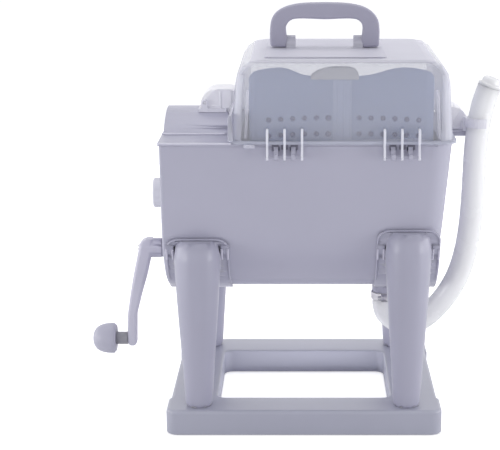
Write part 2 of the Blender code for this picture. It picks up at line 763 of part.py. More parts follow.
def saddle_front_mesh(name, drop):
    """The saddle's outline seen from the front, with its upper corners rounded, as a deep block."""
    top = SADDLE_THICKNESS - drop
    bottom = -TROUGH_RADIUS - SADDLE_THICKNESS - OVERRUN
    half = SADDLE_HALF_WIDTH + GAP / 2
    radius = SADDLE_CORNER_RADIUS
    outline = (arc((half - radius, top - radius), radius, 0, 90, 6)
               + arc((radius - half, top - radius), radius, 90, 180, 6)
               + [(-half, bottom), (half, bottom)])
    return flat_mesh(name, [outline], 4 * TROUGH_RADIUS)


def on_trough(x, side, drop, lift):
    """Place and turn of something that lies flat on a saddle, its own Z pointing away from the trough."""
    angle = math.acos(drop / TROUGH_RADIUS)
    distance = TROUGH_RADIUS + lift
    place = (x, side * distance * math.sin(angle), AXIS_HEIGHT - distance * math.cos(angle))
    return place, (math.pi - side * (math.pi - angle) + (math.pi if side > 0 else 0.0), 0.0, 0.0)


def build_leg(name, x, side, drop):
    """One leg with its saddle, cut to the trough and bored for its screw."""
    rings = leg_rings(drop)
    if side > 0:
        rings = [[(px, -py, pz) for px, py, pz in ring] for ring in rings]
    leg = piece(name, loft_mesh(name, rings, True, True, True), "leg")
    put(leg, (x, side * (BASE_DEPTH / 2 - LEG_SETBACK), 0.0))
    saddle = guide(name + "_saddle", saddle_mesh(name + "_saddle", drop, side))
    put(saddle, (x, 0.0, AXIS_HEIGHT), UPRIGHT_SIDE)
    front = guide(name + "_saddle_front", saddle_front_mesh(name + "_saddle_front", drop))
    boolean(saddle, put(front, (x, 0.0, AXIS_HEIGHT), UPRIGHT_FRONT), "INTERSECT")
    boolean(leg, saddle, "UNION")
    room = guide(name + "_room", rod_mesh(name + "_room", TROUGH_RADIUS,
                                          2 * SADDLE_HALF_WIDTH + 2 * OVERRUN, sides=72, clearance=GAP))
    put(room, (x, 0.0, AXIS_HEIGHT), ALONG_X)
    boolean(leg, room, "DIFFERENCE")
    depth = LEG_SCREW_REACH + GAP + OVERRUN
    bore = guide(name + "_bore", rod_mesh(name + "_bore", LEG_SCREW_RADIUS, depth, sides=12, clearance=GAP))
    put(bore, (x, side * (BASE_DEPTH / 2 - LEG_SETBACK), BASE_TOP + GAP - OVERRUN + depth / 2))
    boolean(leg, bore, "DIFFERENCE")


def build_legs():
    """The four legs, their clips and their screws."""
    for corner, x, side, drop in leg_places():
        build_leg("leg_" + corner, x, side, drop)
        add_leg_clips("leg_" + corner, x, side)
    build_leg_screws()


def add_leg_clips(name, x, side):
    """A small raised clip on the saddle each side of the leg, with a notch beside it."""
    clips = bmesh.new()
    notches = bmesh.new()
    for hand in (-1, 1):
        depth = CLIP_THICKNESS + SADDLE_THICKNESS / 2
        lift = GAP + SADDLE_THICKNESS + CLIP_THICKNESS - depth / 2
        place, turn = on_trough(x + hand * CLIP_OFFSET, side, CLIP_DROP, lift)
        add_turned_box(clips, place, turn[0], (CLIP_WIDTH, CLIP_HEIGHT, depth))
        place, turn = on_trough(x + hand * NOTCH_OFFSET, side, CLIP_DROP, SADDLE_THICKNESS / 2)
        size = (NOTCH_WIDTH, NOTCH_LENGTH, SADDLE_THICKNESS + 2 * OVERRUN)
        add_turned_box(notches, place, turn[0], size)
    leg = bpy.data.objects[name]
    boolean(leg, put(guide(name + "_clips", mesh_from(name + "_clips", clips))), "UNION")
    boolean(leg, put(guide(name + "_notches", mesh_from(name + "_notches", notches))), "DIFFERENCE")


def add_turned_box(bm, place, turn, size):
    """Adds to a bmesh a box turned about X."""
    matrix = (Matrix.Translation(place) @ Matrix.Rotation(turn, 4, "X")
              @ Matrix.Diagonal((*size, 1.0)))
    bmesh.ops.create_cube(bm, size=1.0, matrix=matrix)


def build_leg_screws():
    """Screws up through the base into the legs."""
    top = BASE_TOP + LEG_SCREW_REACH
    seat = PAD_PROUD + LEG_SCREW_RECESS - GAP
    profile = [(0.0, top), (LEG_SCREW_RADIUS, top), (LEG_SCREW_RADIUS, seat),
               (LEG_SCREW_HEAD_RADIUS, seat), (LEG_SCREW_HEAD_RADIUS, seat - LEG_SCREW_HEAD_HEIGHT),
               (0.0, seat - LEG_SCREW_HEAD_HEIGHT)]
    for corner, x, side, _ in leg_places():
        name = "leg_screw_" + corner
        screw = piece(name, turned_mesh(name, profile, 12), "steel")
        put(screw, (x, side * (BASE_DEPTH / 2 - LEG_SETBACK), 0.0))


def tub_stations():
    """Where the tub's sections stand along X and how far each is drawn in."""
    left = [(TUB_LEFT + along, inset) for along, inset in end_round(TUB_LEFT_RADIUS, 2)]
    right = [(TUB_RIGHT - along, inset) for along, inset in reversed(end_round(TUB_RIGHT_RADIUS, 6))]
    return left + right


def build_tub():
    """The trough-shaped tub, open at the top, with its bores, drain hole and hinge slots."""
    rings = []
    for x, inset in tub_stations():
        ring = [(tapered_x(x, z), y, AXIS_HEIGHT + z) for y, z in trough_outline(inset, TUB_TOP)]
        rings.append(ring)
    tub = piece("tub", loft_mesh("tub", rings, False, True, True, (0.0, 0.0, AXIS_HEIGHT)), "body")
    put(tub)
    thicken(tub, TUB_WALL)
    length = TUB_WALL + 2 * OVERRUN
    bores = guide("bush_bores", rod_mesh("bush_bores", BUSH_RADIUS, length,
                                         [(0.0, 0.0, 0.0), (AXIS_HEIGHT - CRANK_Z, 0.0, 0.0)], clearance=GAP))
    boolean(tub, put(bores, (TUB_LEFT + TUB_WALL / 2, 0.0, AXIS_HEIGHT), ALONG_X), "DIFFERENCE")
    drain = guide("drain_bore", rod_mesh("drain_bore", SPOUT_BORE, TROUGH_RADIUS, sides=20))
    boolean(tub, put(drain, (DRAIN_X, DRAIN_Y, AXIS_HEIGHT - TROUGH_RADIUS)), "DIFFERENCE")
    places = [(x, 0.0, 0.0) for x in lug_places()]
    slots = guide("hinge_slots", box_mesh("hinge_slots", (HINGE_SLOT_WIDTH, 2 * TUB_WALL + 2 * OVERRUN,
                                                          2 * HINGE_SLOT_HEIGHT), places))
    put(slots, (0.0, -RIM_HALF_DEPTH + TUB_WALL, AXIS_HEIGHT + TUB_TOP))
    boolean(tub, slots, "DIFFERENCE")


def rib_places():
    """Places along X of the lid's six hinge ribs."""
    return [centre + i * HINGE_RIB_PITCH for centre in (HINGE_LEFT_X, HINGE_RIGHT_X) for i in (-1, 0, 1)]


def lug_places():
    """Places along X of the tub's four hinge lugs, between the ribs."""
    return [centre + i * HINGE_RIB_PITCH / 2 for centre in (HINGE_LEFT_X, HINGE_RIGHT_X) for i in (-1, 1)]


def build_top_frame():
    """The deck on the tub's rim with the arched gear housing, the lock shelf and the hinge lugs."""
    lip = DECK_LIP
    half = RIM_HALF_DEPTH + lip
    outer = (arc((TUB_RIGHT - TUB_RIGHT_RADIUS, half - TUB_RIGHT_RADIUS - lip),
                 TUB_RIGHT_RADIUS + lip, 0, 90, 6)
             + arc((TUB_LEFT + TUB_LEFT_RADIUS, half - TUB_LEFT_RADIUS - lip),
                   TUB_LEFT_RADIUS + lip, 90, 180, 3))
    outer += [(x, -y) for x, y in reversed(outer)]
    opening = rounded_rectangle(DECK_OPENING_LEFT, DECK_OPENING_RIGHT, -DECK_OPENING_HALF_DEPTH,
                                DECK_OPENING_HALF_DEPTH, DECK_OPENING_RADIUS)
    deck = piece("top_frame", flat_mesh("top_frame", [outer, opening], DECK_THICKNESS), "body")
    put(deck, (0.0, 0.0, RIM_HEIGHT - DECK_THICKNESS / 2))
    boolean(deck, arch_solid("arch", 0.0), "UNION")
    boolean(deck, lock_shelf(), "UNION")
    boolean(deck, hinge_lugs(), "UNION")
    boolean(deck, arch_solid("arch_inside", ARCH_WALL), "DIFFERENCE")
    pins = guide("hinge_pin_bores", rod_mesh("hinge_pin_bores", HINGE_PIN_RADIUS,
                                             TUB_RIGHT - TUB_LEFT, sides=12, clearance=GAP))
    boolean(deck, put(pins, (0.0, HINGE_Y, HINGE_Z), ALONG_X), "DIFFERENCE")


def arch_solid(name, wall):
    """The gear housing's arch on its plinth, or the hollow that leaves the given wall."""
    radius = ARCH_RADIUS - wall
    plinth = RIM_RISE + ARCH_PLINTH - wall
    end = math.degrees(math.asin(plinth / radius))
    foot = radius * math.cos(math.radians(end)) + ARCH_LEDGE
    bottom = RIM_RISE - DECK_THICKNESS / 2 - (OVERRUN if wall > 0.0 else 0.0)
    outline = [(foot, bottom), (foot, plinth - ARCH_LEDGE)]
    outline += arc((0.0, 0.0), radius, end, 180 - end, ARCH_STEPS)
    outline += [(-foot, plinth - ARCH_LEDGE), (-foot, bottom)]
    length = ARCH_RIGHT - ARCH_LEFT - 2 * wall
    arch = guide(name, flat_mesh(name, [outline], length))
    return put(arch, ((ARCH_LEFT + ARCH_RIGHT) / 2, 0.0, AXIS_HEIGHT), UPRIGHT_SIDE)


def lock_shelf():
    """A shelf out of the deck's right end, which carries the right lock and the hose clip."""
    right = TUB_RIGHT + SHELF_REACH
    size = (SHELF_REACH - GAP, SHELF_FRONT + SHELF_BACK, SHELF_THICKNESS)
    shelf = guide("lock_shelf", box_mesh("lock_shelf", size))
    return put(shelf, (right - size[0] / 2, (SHELF_BACK - SHELF_FRONT) / 2, RIM_HEIGHT - SHELF_THICKNESS / 2))


def hinge_lugs():
    """Four lugs forward from the deck's front edge to the lid's hinge pins."""
    back = -RIM_HALF_DEPTH
    top = RIM_HEIGHT - DECK_THICKNESS / 2
    outline = [(back, HINGE_Z - HINGE_EYE_RADIUS / 2), (back, top), (back - DECK_LIP / 2, top)]
    outline += arc((HINGE_Y, HINGE_Z), HINGE_EYE_RADIUS, 75, 285, 10)
    bm = bmesh.new()
    one = flat_mesh("hinge_lug", [outline], HINGE_LUG_WIDTH)
    for x in lug_places():
        start = len(bm.verts)
        bm.from_mesh(one)
        bm.verts.ensure_lookup_table()
        bmesh.ops.translate(bm, verts=bm.verts[start:], vec=(0.0, 0.0, x))
    return put(guide("hinge_lugs", mesh_from("hinge_lugs", bm)), (0.0, 0.0, 0.0), UPRIGHT_SIDE)


def build_partition():
    """The wall between the gears and the wash space, with a pocket for the crank shaft's end."""
    outline = trough_outline(TUB_WALL + GAP, TUB_TOP)
    wall = piece("partition_plate", flat_mesh("partition_plate", [outline], PARTITION_THICKNESS), "body")
    put(wall, (PARTITION_LEFT + PARTITION_THICKNESS / 2, 0.0, AXIS_HEIGHT), UPRIGHT_SIDE)
    pocket = guide("shaft_pocket", rod_mesh("shaft_pocket", CRANK_SHAFT_RADIUS + POCKET_WALL,
                                            POCKET_DEPTH + PARTITION_THICKNESS / 2))
    put(pocket, (PARTITION_LEFT - POCKET_DEPTH / 2 + PARTITION_THICKNESS / 4, 0.0, CRANK_Z), ALONG_X)
    boolean(wall, pocket, "UNION")
    bore = guide("pocket_bore", rod_mesh("pocket_bore", CRANK_SHAFT_RADIUS,
                                         POCKET_DEPTH + OVERRUN, clearance=RUNNING))
    put(bore, (PARTITION_LEFT - (POCKET_DEPTH + OVERRUN) / 2, 0.0, CRANK_Z), ALONG_X)
    boolean(wall, bore, "DIFFERENCE")
    depth = PARTITION_THICKNESS + 2 * OVERRUN
    seal = guide("seal_bore", rod_mesh("seal_bore", SEAL_RADIUS, depth, clearance=GAP))
    put(seal, (PARTITION_LEFT + PARTITION_THICKNESS / 2, 0.0, AXIS_HEIGHT), ALONG_X)
    boolean(wall, seal, "DIFFERENCE")


def ring_profile(outer, inner, length):
    """Profile of a plain ring centred on its own middle."""
    return [(outer, length / 2), (outer, -length / 2), (inner, -length / 2), (inner, length / 2)]


def build_bearings():
    """Bushes in the tub's left wall, the boss cap over the upper one, and the seal in the partition."""
    inner = CRANK_SHAFT_RADIUS + RUNNING
    right = TUB_WALL + BUSH_REACH
    profile = [(BUSH_RADIUS, right), (BUSH_RADIUS, -GAP), (BUSH_COLLAR_RADIUS, -GAP),
               (BUSH_COLLAR_RADIUS, -BUSH_COLLAR_LENGTH), (inner, -BUSH_COLLAR_LENGTH), (inner, right)]
    crank_bush = piece("crank_bush", turned_mesh("crank_bush", profile, 28), "body")
    put(crank_bush, (TUB_LEFT, 0.0, CRANK_Z), ALONG_X)
    inner = PULSATOR_SHAFT_RADIUS + RUNNING
    length = right + BOSS_BUSH_LENGTH
    bush = piece("pulsator_bush", turned_mesh("pulsator_bush", ring_profile(BUSH_RADIUS, inner, length), 24),
                 "white")
    put(bush, (TUB_LEFT - BOSS_BUSH_LENGTH + length / 2, 0.0, AXIS_HEIGHT), ALONG_X)
    hollow = BOSS_RADIUS - BOSS_WALL
    edge = BOSS_WALL / 4
    profile = [(0.0, -BOSS_LENGTH), (BOSS_RADIUS - edge, -BOSS_LENGTH), (BOSS_RADIUS, -BOSS_LENGTH + edge),
               (BOSS_RADIUS, -GAP), (hollow, -GAP), (hollow, -BOSS_LENGTH + BOSS_WALL),
               (0.0, -BOSS_LENGTH + BOSS_WALL)]
    cap = piece("boss_cap", turned_mesh("boss_cap", profile, 32), "body")
    put(cap, (TUB_LEFT, 0.0, AXIS_HEIGHT), ALONG_X)
    profile = ring_profile(SEAL_RADIUS, PULSATOR_SHAFT_RADIUS + RUNNING, SEAL_LENGTH)
    seal = piece("shaft_seal", turned_mesh("shaft_seal", profile, 24), "rubber")
    put(seal, (PARTITION_LEFT + PARTITION_THICKNESS / 2, 0.0, AXIS_HEIGHT), ALONG_X)


def gear_outline(phase):
    """A spur gear's outline with involute flanks and a little backlash."""
    pitch = GEAR_MODULE * GEAR_TEETH / 2
    base = pitch * math.cos(math.radians(PRESSURE_ANGLE))
    tip = pitch + GEAR_TIP_SHARE * GEAR_MODULE
    root = pitch - GEAR_ROOT_SHARE * GEAR_MODULE
    half = math.pi / (2 * GEAR_TEETH) - GEAR_BACKLASH / (4 * pitch)

    def involute(radius):
        angle = math.acos(min(1.0, base / radius))
        return math.tan(angle) - angle

    flank = []
    for radius in (root, (base + pitch) / 2, (pitch + tip) / 2, tip):
        reach = max(radius, base)
        flank.append((radius, half + involute(pitch) - involute(reach)))
    outline = []
    for tooth in range(GEAR_TEETH):
        middle = phase + 2 * math.pi * tooth / GEAR_TEETH
        for radius, spread in flank:
            outline.append((radius * math.cos(middle - spread), radius * math.sin(middle - spread)))
        for radius, spread in reversed(flank):
            outline.append((radius * math.cos(middle + spread), radius * math.sin(middle + spread)))
    return outline


def build_gear(name, phase, bore, height, on):
    """One gear on its shaft, its outline turned so that a tooth or a gap points along +Z or -Z."""
    hole = arc((0.0, 0.0), bore + GAP, 0, 345, 23)
    gear = piece(name, flat_mesh(name, [gear_outline(phase), hole], GEAR_WIDTH), "white")
    put(gear, (GEAR_LEFT + GEAR_WIDTH / 2, 0.0, height), UPRIGHT_SIDE, on)


def build_crank():
    """The crank's shaft, gear, arm, screw and knob spindle, and the knob that turns on the spindle."""
    left = ARM_TOP_X + ARM_TOP_THICKNESS / 2
    right = PARTITION_LEFT - GAP
    bore = CRANK_SCREW_RADIUS + GAP
    pilot = ARM_TOP_X - ARM_TOP_THICKNESS / 2 + CRANK_SCREW_RECESS + CRANK_SCREW_LENGTH
    profile = [(0.0, right), (CRANK_SHAFT_RADIUS, right), (CRANK_SHAFT_RADIUS, left), (bore, left),
               (bore, pilot), (0.0, pilot)]
    shaft = piece("crank_shaft", turned_mesh("crank_shaft", profile, 24), "steel")
    put(shaft, (0.0, 0.0, CRANK_Z), ALONG_X, "crank_axis")
    build_gear("crank_gear", math.radians(90), CRANK_SHAFT_RADIUS, CRANK_Z, "crank_axis")
    build_crank_arm()
    seat = ARM_TOP_X - ARM_TOP_THICKNESS / 2 + CRANK_SCREW_RECESS - GAP
    profile = [(0.0, seat + CRANK_SCREW_LENGTH), (CRANK_SCREW_RADIUS, seat + CRANK_SCREW_LENGTH),
               (CRANK_SCREW_RADIUS, seat), (CRANK_SCREW_HEAD_RADIUS, seat),
               (CRANK_SCREW_HEAD_RADIUS, seat - CRANK_SCREW_HEAD_HEIGHT / 2),
               (CRANK_SCREW_HEAD_RADIUS * CRANK_SCREW_CROWN_SHARE, seat - CRANK_SCREW_HEAD_HEIGHT),
               (0.0, seat - CRANK_SCREW_HEAD_HEIGHT)]
    screw = piece("crank_screw", turned_mesh("crank_screw", profile, 16), "steel")
    put(screw, (0.0, 0.0, CRANK_Z), ALONG_X, "crank_axis")
    build_knob()


def arm_ring(height, lean, thickness, width, outer_inset, side_inset):
    """One level section of the crank's arm, drawn in on its outer side and at its front and back."""
    middle = ARM_TOP_X + lean * (ARM_FOOT_X - ARM_TOP_X)
    left = middle - thickness / 2 + outer_inset
    right = middle + thickness / 2 - max(0.0, outer_inset - side_inset * 2)
    half = width / 2 - side_inset
    corner = min((right - left) / 2, half) * ARM_CORNER_SHARE
    return [(x, y, height) for x, y in rounded_rectangle(left, right, -half, half, corner, 3)]


def arm_rings():
    """Sections of the crank's arm, from its rounded shoulder down to its rounded foot."""
    rings = []
    top = CRANK_Z + ARM_SHOULDER
    for angle in (78.0, 52.0, 26.0):
        turn = math.radians(angle)
        inset = ARM_ROUND * (1 - math.cos(turn))
        rings.append(arm_ring(top - ARM_ROUND * (1 - math.sin(turn)), 0.0, ARM_TOP_THICKNESS,
                              ARM_TOP_WIDTH, inset, inset / 2))
    for down, lean, taper in zip(ARM_HEIGHT_SHARES, ARM_LEAN_SHARES, ARM_TAPER_SHARES):
        thickness = ARM_TOP_THICKNESS + taper * (ARM_FOOT_THICKNESS - ARM_TOP_THICKNESS)
        width = ARM_TOP_WIDTH + down * (ARM_FOOT_WIDTH - ARM_TOP_WIDTH)
        rings.append(arm_ring(CRANK_Z - down * CRANK_RADIUS, lean, thickness, width, 0.0, 0.0))
    foot = KNOB_Z - ARM_OVERHANG
    round_foot = ARM_FOOT_THICKNESS / 2
    for angle in (0.0, 30.0, 60.0):
        turn = math.radians(angle)
        inset = round_foot * (1 - math.cos(turn))
        rings.append(arm_ring(foot + round_foot * (1 - math.sin(turn)), 1.0, ARM_FOOT_THICKNESS - 2 * inset,
                              ARM_FOOT_WIDTH, 0.0, inset))
    return rings


def build_crank_arm():
    """The crank's arm: a tapering bar that leans outwards, with the hub at its top."""
    arm = piece("crank_arm", loft_mesh("crank_arm", arm_rings(), True, True, True), "leg")
    put(arm, AXES["crank_axis"][1], FLAT, "crank_axis")
    arm.data.transform(Matrix.Translation(-AXES["crank_axis"][1]))
    length = HUB_RIGHT - ARM_TOP_X
    hub = guide("crank_hub", rod_mesh("crank_hub", HUB_RADIUS, length, sides=28))
    put(hub, (ARM_TOP_X + length / 2, 0.0, CRANK_Z), ALONG_X)
    boolean(arm, hub, "UNION")
    reach = HUB_RIGHT - ARM_TOP_X - ARM_TOP_THICKNESS / 2 + GAP + OVERRUN
    socket = guide("shaft_socket", rod_mesh("shaft_socket", CRANK_SHAFT_RADIUS, reach, clearance=GAP))
    put(socket, (HUB_RIGHT + OVERRUN - reach / 2, 0.0, CRANK_Z), ALONG_X)
    boolean(arm, socket, "DIFFERENCE")
    screw = guide("crank_screw_bore", rod_mesh("crank_screw_bore", CRANK_SCREW_RADIUS,
                                               2 * ARM_TOP_THICKNESS, sides=16, clearance=GAP))
    boolean(arm, put(screw, (ARM_TOP_X, 0.0, CRANK_Z), ALONG_X), "DIFFERENCE")
    depth = CRANK_SCREW_RECESS + ARM_TOP_THICKNESS
    sink = guide("crank_screw_sink", rod_mesh("crank_screw_sink", CRANK_SCREW_HEAD_RADIUS, depth,
                                              sides=20, clearance=GAP))
    outer = ARM_TOP_X - ARM_TOP_THICKNESS / 2
    put(sink, (outer + CRANK_SCREW_RECESS - depth / 2, 0.0, CRANK_Z), ALONG_X)
    boolean(arm, sink, "DIFFERENCE")
    depth = SPINDLE_TAIL + GAP + OVERRUN
    tail = guide("spindle_bore", rod_mesh("spindle_bore", SPINDLE_RADIUS, depth, sides=20, clearance=GAP))
    put(tail, (ARM_FOOT_X - ARM_FOOT_THICKNESS / 2 - OVERRUN + depth / 2, 0.0, KNOB_Z), ALONG_X)
    boolean(arm, tail, "DIFFERENCE")


def build_knob():
    """The knob's spindle with its collar, and the mushroom knob."""
    face = ARM_FOOT_X - ARM_FOOT_THICKNESS / 2 - GAP
    collar = KNOB_RIGHT + GAP
    tip = KNOB_RIGHT - SPINDLE_LENGTH
    profile = [(0.0, face + SPINDLE_TAIL), (SPINDLE_RADIUS, face + SPINDLE_TAIL), (SPINDLE_RADIUS, face),
               (COLLAR_RADIUS, face), (COLLAR_RADIUS, collar), (SPINDLE_RADIUS, collar),
               (SPINDLE_RADIUS, tip), (0.0, tip)]
    spindle = piece("knob_spindle", turned_mesh("knob_spindle", profile, 20), "grip")
    put(spindle, (0.0, 0.0, KNOB_Z), ALONG_X, "crank_axis")
    bore = SPINDLE_RADIUS + RUNNING
    profile = [(0.0, tip - RUNNING), (bore, tip - RUNNING), (bore, KNOB_RIGHT),
               (KNOB_RADIUS - KNOB_EDGE, KNOB_RIGHT), (KNOB_RADIUS, KNOB_RIGHT - KNOB_EDGE)]
    dome = arc((0.0, 0.0), 1.0, 0, 90, 8)
    height = KNOB_RIGHT - KNOB_EDGE - KNOB_LEFT
    for share_x, share_z in dome[1:-1]:
        profile.append((KNOB_RADIUS * share_x ** KNOB_FULLNESS_SHARE,
                        KNOB_RIGHT - KNOB_EDGE - height * share_z ** KNOB_FULLNESS_SHARE))
    profile.append((0.0, KNOB_LEFT))
    knob = piece("crank_knob", turned_mesh("crank_knob", profile, 32), "body")
    put(knob, (0.0, 0.0, KNOB_Z), ALONG_X, "knob_axis")


def build_pulsator():
    """The pulsator with its shaft, gear and nut."""
    left = TUB_LEFT - BOSS_BUSH_LENGTH + RUNNING
    right = PULSATOR_LEFT + PULSATOR_HUB_LENGTH + NUT_LENGTH
    length = right - left
    shaft = piece("pulsator_shaft", rod_mesh("pulsator_shaft", PULSATOR_SHAFT_RADIUS, length), "steel")
    put(shaft, (left + length / 2, 0.0, AXIS_HEIGHT), ALONG_X, "pulsator_axis")
    half_pitch = math.pi / GEAR_TEETH
    build_gear("pulsator_gear", math.radians(-90) + half_pitch, PULSATOR_SHAFT_RADIUS, AXIS_HEIGHT,
               "pulsator_axis")
    bore = PULSATOR_SHAFT_RADIUS + GAP
    edge = PULSATOR_THICKNESS / 3
    profile = [(bore, PULSATOR_HUB_LENGTH - GAP), (PULSATOR_HUB_RADIUS, PULSATOR_HUB_LENGTH - GAP),
               (PULSATOR_HUB_RADIUS, PULSATOR_THICKNESS), (PULSATOR_RADIUS - edge, PULSATOR_THICKNESS),
               (PULSATOR_RADIUS, PULSATOR_THICKNESS - edge), (PULSATOR_RADIUS, 0.0), (bore, 0.0)]
    disc = piece("pulsator", turned_mesh("pulsator", profile, 40), "white")
    put(disc, (PULSATOR_LEFT, 0.0, AXIS_HEIGHT), ALONG_X, "pulsator_axis")
    add_vanes(disc)
    outline = arc((0.0, 0.0), NUT_RADIUS, 0, 300, 5)
    hole = arc((0.0, 0.0), bore, 0, 345, 23)
    nut = piece("pulsator_nut", flat_mesh("pulsator_nut", [outline, hole], NUT_LENGTH - GAP), "steel")
    place = PULSATOR_LEFT + PULSATOR_HUB_LENGTH + (NUT_LENGTH + GAP) / 2
    put(nut, (place, 0.0, AXIS_HEIGHT), UPRIGHT_SIDE, "pulsator_axis")


def add_vanes(disc):
    """Joins the raised vanes to the pulsator's face."""
    inner = PULSATOR_HUB_RADIUS - VANE_THICKNESS / 2
    bm = bmesh.new()
    for i in range(VANE_COUNT):
        size = (VANE_OUTER - inner, VANE_THICKNESS, VANE_HEIGHT + PULSATOR_THICKNESS / 2)
        middle = Vector(((VANE_OUTER + inner) / 2, 0.0, PULSATOR_THICKNESS / 2 + size[2] / 2))
        matrix = (Matrix.Rotation(2 * math.pi * i / VANE_COUNT, 4, "Z") @ Matrix.Translation(middle)
                  @ Matrix.Diagonal((*size, 1.0)))
        bmesh.ops.create_cube(bm, size=1.0, matrix=matrix)
    vanes = guide("pulsator_vanes", mesh_from("pulsator_vanes", bm))
    put(vanes, (PULSATOR_LEFT, 0.0, AXIS_HEIGHT), ALONG_X, "pulsator_axis")
    boolean(disc, vanes, "UNION")


def basket_front_rise(x):
    """Height of the basket's front rim above the axis: two lobes with a dip for the grip between them."""
    lobe, end = (BASKET_LOBE_LEFT_X, BASKET_LEFT) if x < GRIP_X else (BASKET_LOBE_RIGHT_X, BASKET_RIGHT)
    away = abs(x - GRIP_X)
    peak = abs(lobe - GRIP_X)
    if away <= GRIP_FLAT:
        return BASKET_FRONT_RISE - BASKET_DIP_DEPTH
    if away <= peak:
        share = (away - GRIP_FLAT) / (peak - GRIP_FLAT)
        return BASKET_FRONT_RISE - BASKET_DIP_DEPTH * (1 + math.cos(math.pi * share)) / 2
    share = (away - peak) / (abs(end - GRIP_X) - peak)
    return BASKET_FRONT_RISE - BASKET_END_DROP * (1 - math.cos(math.pi * share)) / 2


def basket_outline(inset, front, rear):
    """The basket's section, front rim to rear rim, as (y, z) from the trough's axis."""
    radius = BASKET_RADIUS - inset
    points = [(-radius, front)]
    points += arc((0.0, 0.0), radius, 180, 360, BASKET_STEPS)
    return points + [(radius, rear)]


def basket_stations():
    """Where the basket's sections stand along X and how far each is drawn in."""
    ends = end_round(BASKET_CORNER_RADIUS, 3)
    stations = [(BASKET_LEFT + along, inset) for along, inset in ends]
    marks = (BASKET_LEFT + BASKET_CORNER_RADIUS, BASKET_LOBE_LEFT_X, GRIP_X - GRIP_FLAT,
             GRIP_X + GRIP_FLAT, BASKET_LOBE_RIGHT_X, BASKET_RIGHT - BASKET_CORNER_RADIUS)
    for start, end, steps in zip(marks, marks[1:], (2, 4, 1, 5, 2)):
        stations += [(start + (end - start) * i / steps, 0.0) for i in range(1, steps + 1)]
    return stations[:-1] + [(BASKET_RIGHT - along, inset) for along, inset in reversed(ends)]


def build_basket():
    """The perforated basket, its bands and the grip on its front rim."""
    rings = []
    for x, inset in basket_stations():
        front = basket_front_rise(x) - BASKET_CORNER_DROP * inset / BASKET_CORNER_RADIUS
        outline = basket_outline(inset, front, BASKET_REAR_RISE)
        rings.append([(x, y, AXIS_HEIGHT + z) for y, z in outline])
    mesh = loft_mesh("basket", rings, False, True, True, (BASKET_CENTRE_X, 0.0, AXIS_HEIGHT))
    basket = put(piece("basket", mesh, "basket"))
    thicken(basket, BASKET_WALL)
    add_basket_bands(basket)
    add_basket_lugs(basket)
    cut_basket_holes(basket)
    build_basket_grip()


def add_basket_bands(basket):
    """Joins an upright band to the middle of the front wall and one to the rear wall."""
    depth = BAND_THICKNESS + BASKET_WALL / 2
    offset = BASKET_RADIUS + BAND_THICKNESS - depth / 2
    front = BASKET_FRONT_RISE - BASKET_DIP_DEPTH - BAND_TOP_DROP
    rear = BASKET_REAR_RISE - BAND_TOP_DROP
    for name, side, height in (("front_band", -1, front), ("rear_band", 1, rear)):
        band = guide(name, box_mesh(name, (2 * BAND_HALF_WIDTH, depth, height)))
        put(band, (BAND_CENTRE_X, side * offset, AXIS_HEIGHT + height / 2))
        boolean(basket, band, "UNION")


def add_basket_lugs(basket):
    """Joins four lugs to the walls, which rest on the deck round its opening."""
    reach = DECK_OPENING_HALF_DEPTH + BASKET_LUG_REACH - BASKET_RADIUS + BASKET_WALL / 2
    middle = BASKET_RADIUS - BASKET_WALL / 2 + reach / 2
    places = [(x * BASKET_LUG_OFFSET, y * middle, 0.0) for x in (-1, 1) for y in (-1, 1)]
    size = (BASKET_LUG_WIDTH, reach, BASKET_LUG_THICKNESS)
    lugs = guide("basket_lugs", box_mesh("basket_lugs", size, places))
    put(lugs, (BASKET_CENTRE_X, 0.0, RIM_HEIGHT + GAP + BASKET_LUG_THICKNESS / 2))
    boolean(basket, lugs, "UNION")


def hole_places():
    """Places of the front wall's holes as (x, drop) from the basket's middle and the trough's axis."""
    outermost = HOLE_INNER_X + (HOLES_PER_SIDE - 1) * HOLE_PITCH_X
    places = []
    for hand in (-1, 1):
        for column in range(HOLES_PER_SIDE):
            away = HOLE_INNER_X + column * HOLE_PITCH_X
            sag = HOLE_ROW_SAG * (away / outermost) ** 2
            for row in range(HOLE_ROWS):
                places.append((hand * away, row * HOLE_PITCH_Z + sag - HOLE_TOP_RISE, 0.0))
    return places


def cut_basket_holes(basket):
    """Cuts rows of round holes through the front wall, and two rows through the bottom."""
    length = 2 * (BASKET_WALL + OVERRUN)
    holes = guide("wall_holes", rod_mesh("wall_holes", HOLE_RADIUS, length, hole_places(), 8))
    put(holes, (BASKET_CENTRE_X, -BASKET_RADIUS, AXIS_HEIGHT), ALONG_Y)
    boolean(basket, holes, "DIFFERENCE")
    places = [((i - (HOLES_PER_SIDE - 1) / 2) * DRAIN_HOLE_PITCH, side * DRAIN_HOLE_OFFSET, 0.0)
              for i in range(HOLES_PER_SIDE) for side in (-1, 1)]
    drains = guide("floor_holes", rod_mesh("floor_holes", HOLE_RADIUS, BASKET_RADIUS, places, 8))
    boolean(basket, put(drains, (BASKET_CENTRE_X, 0.0, AXIS_HEIGHT - BASKET_RADIUS)), "DIFFERENCE")


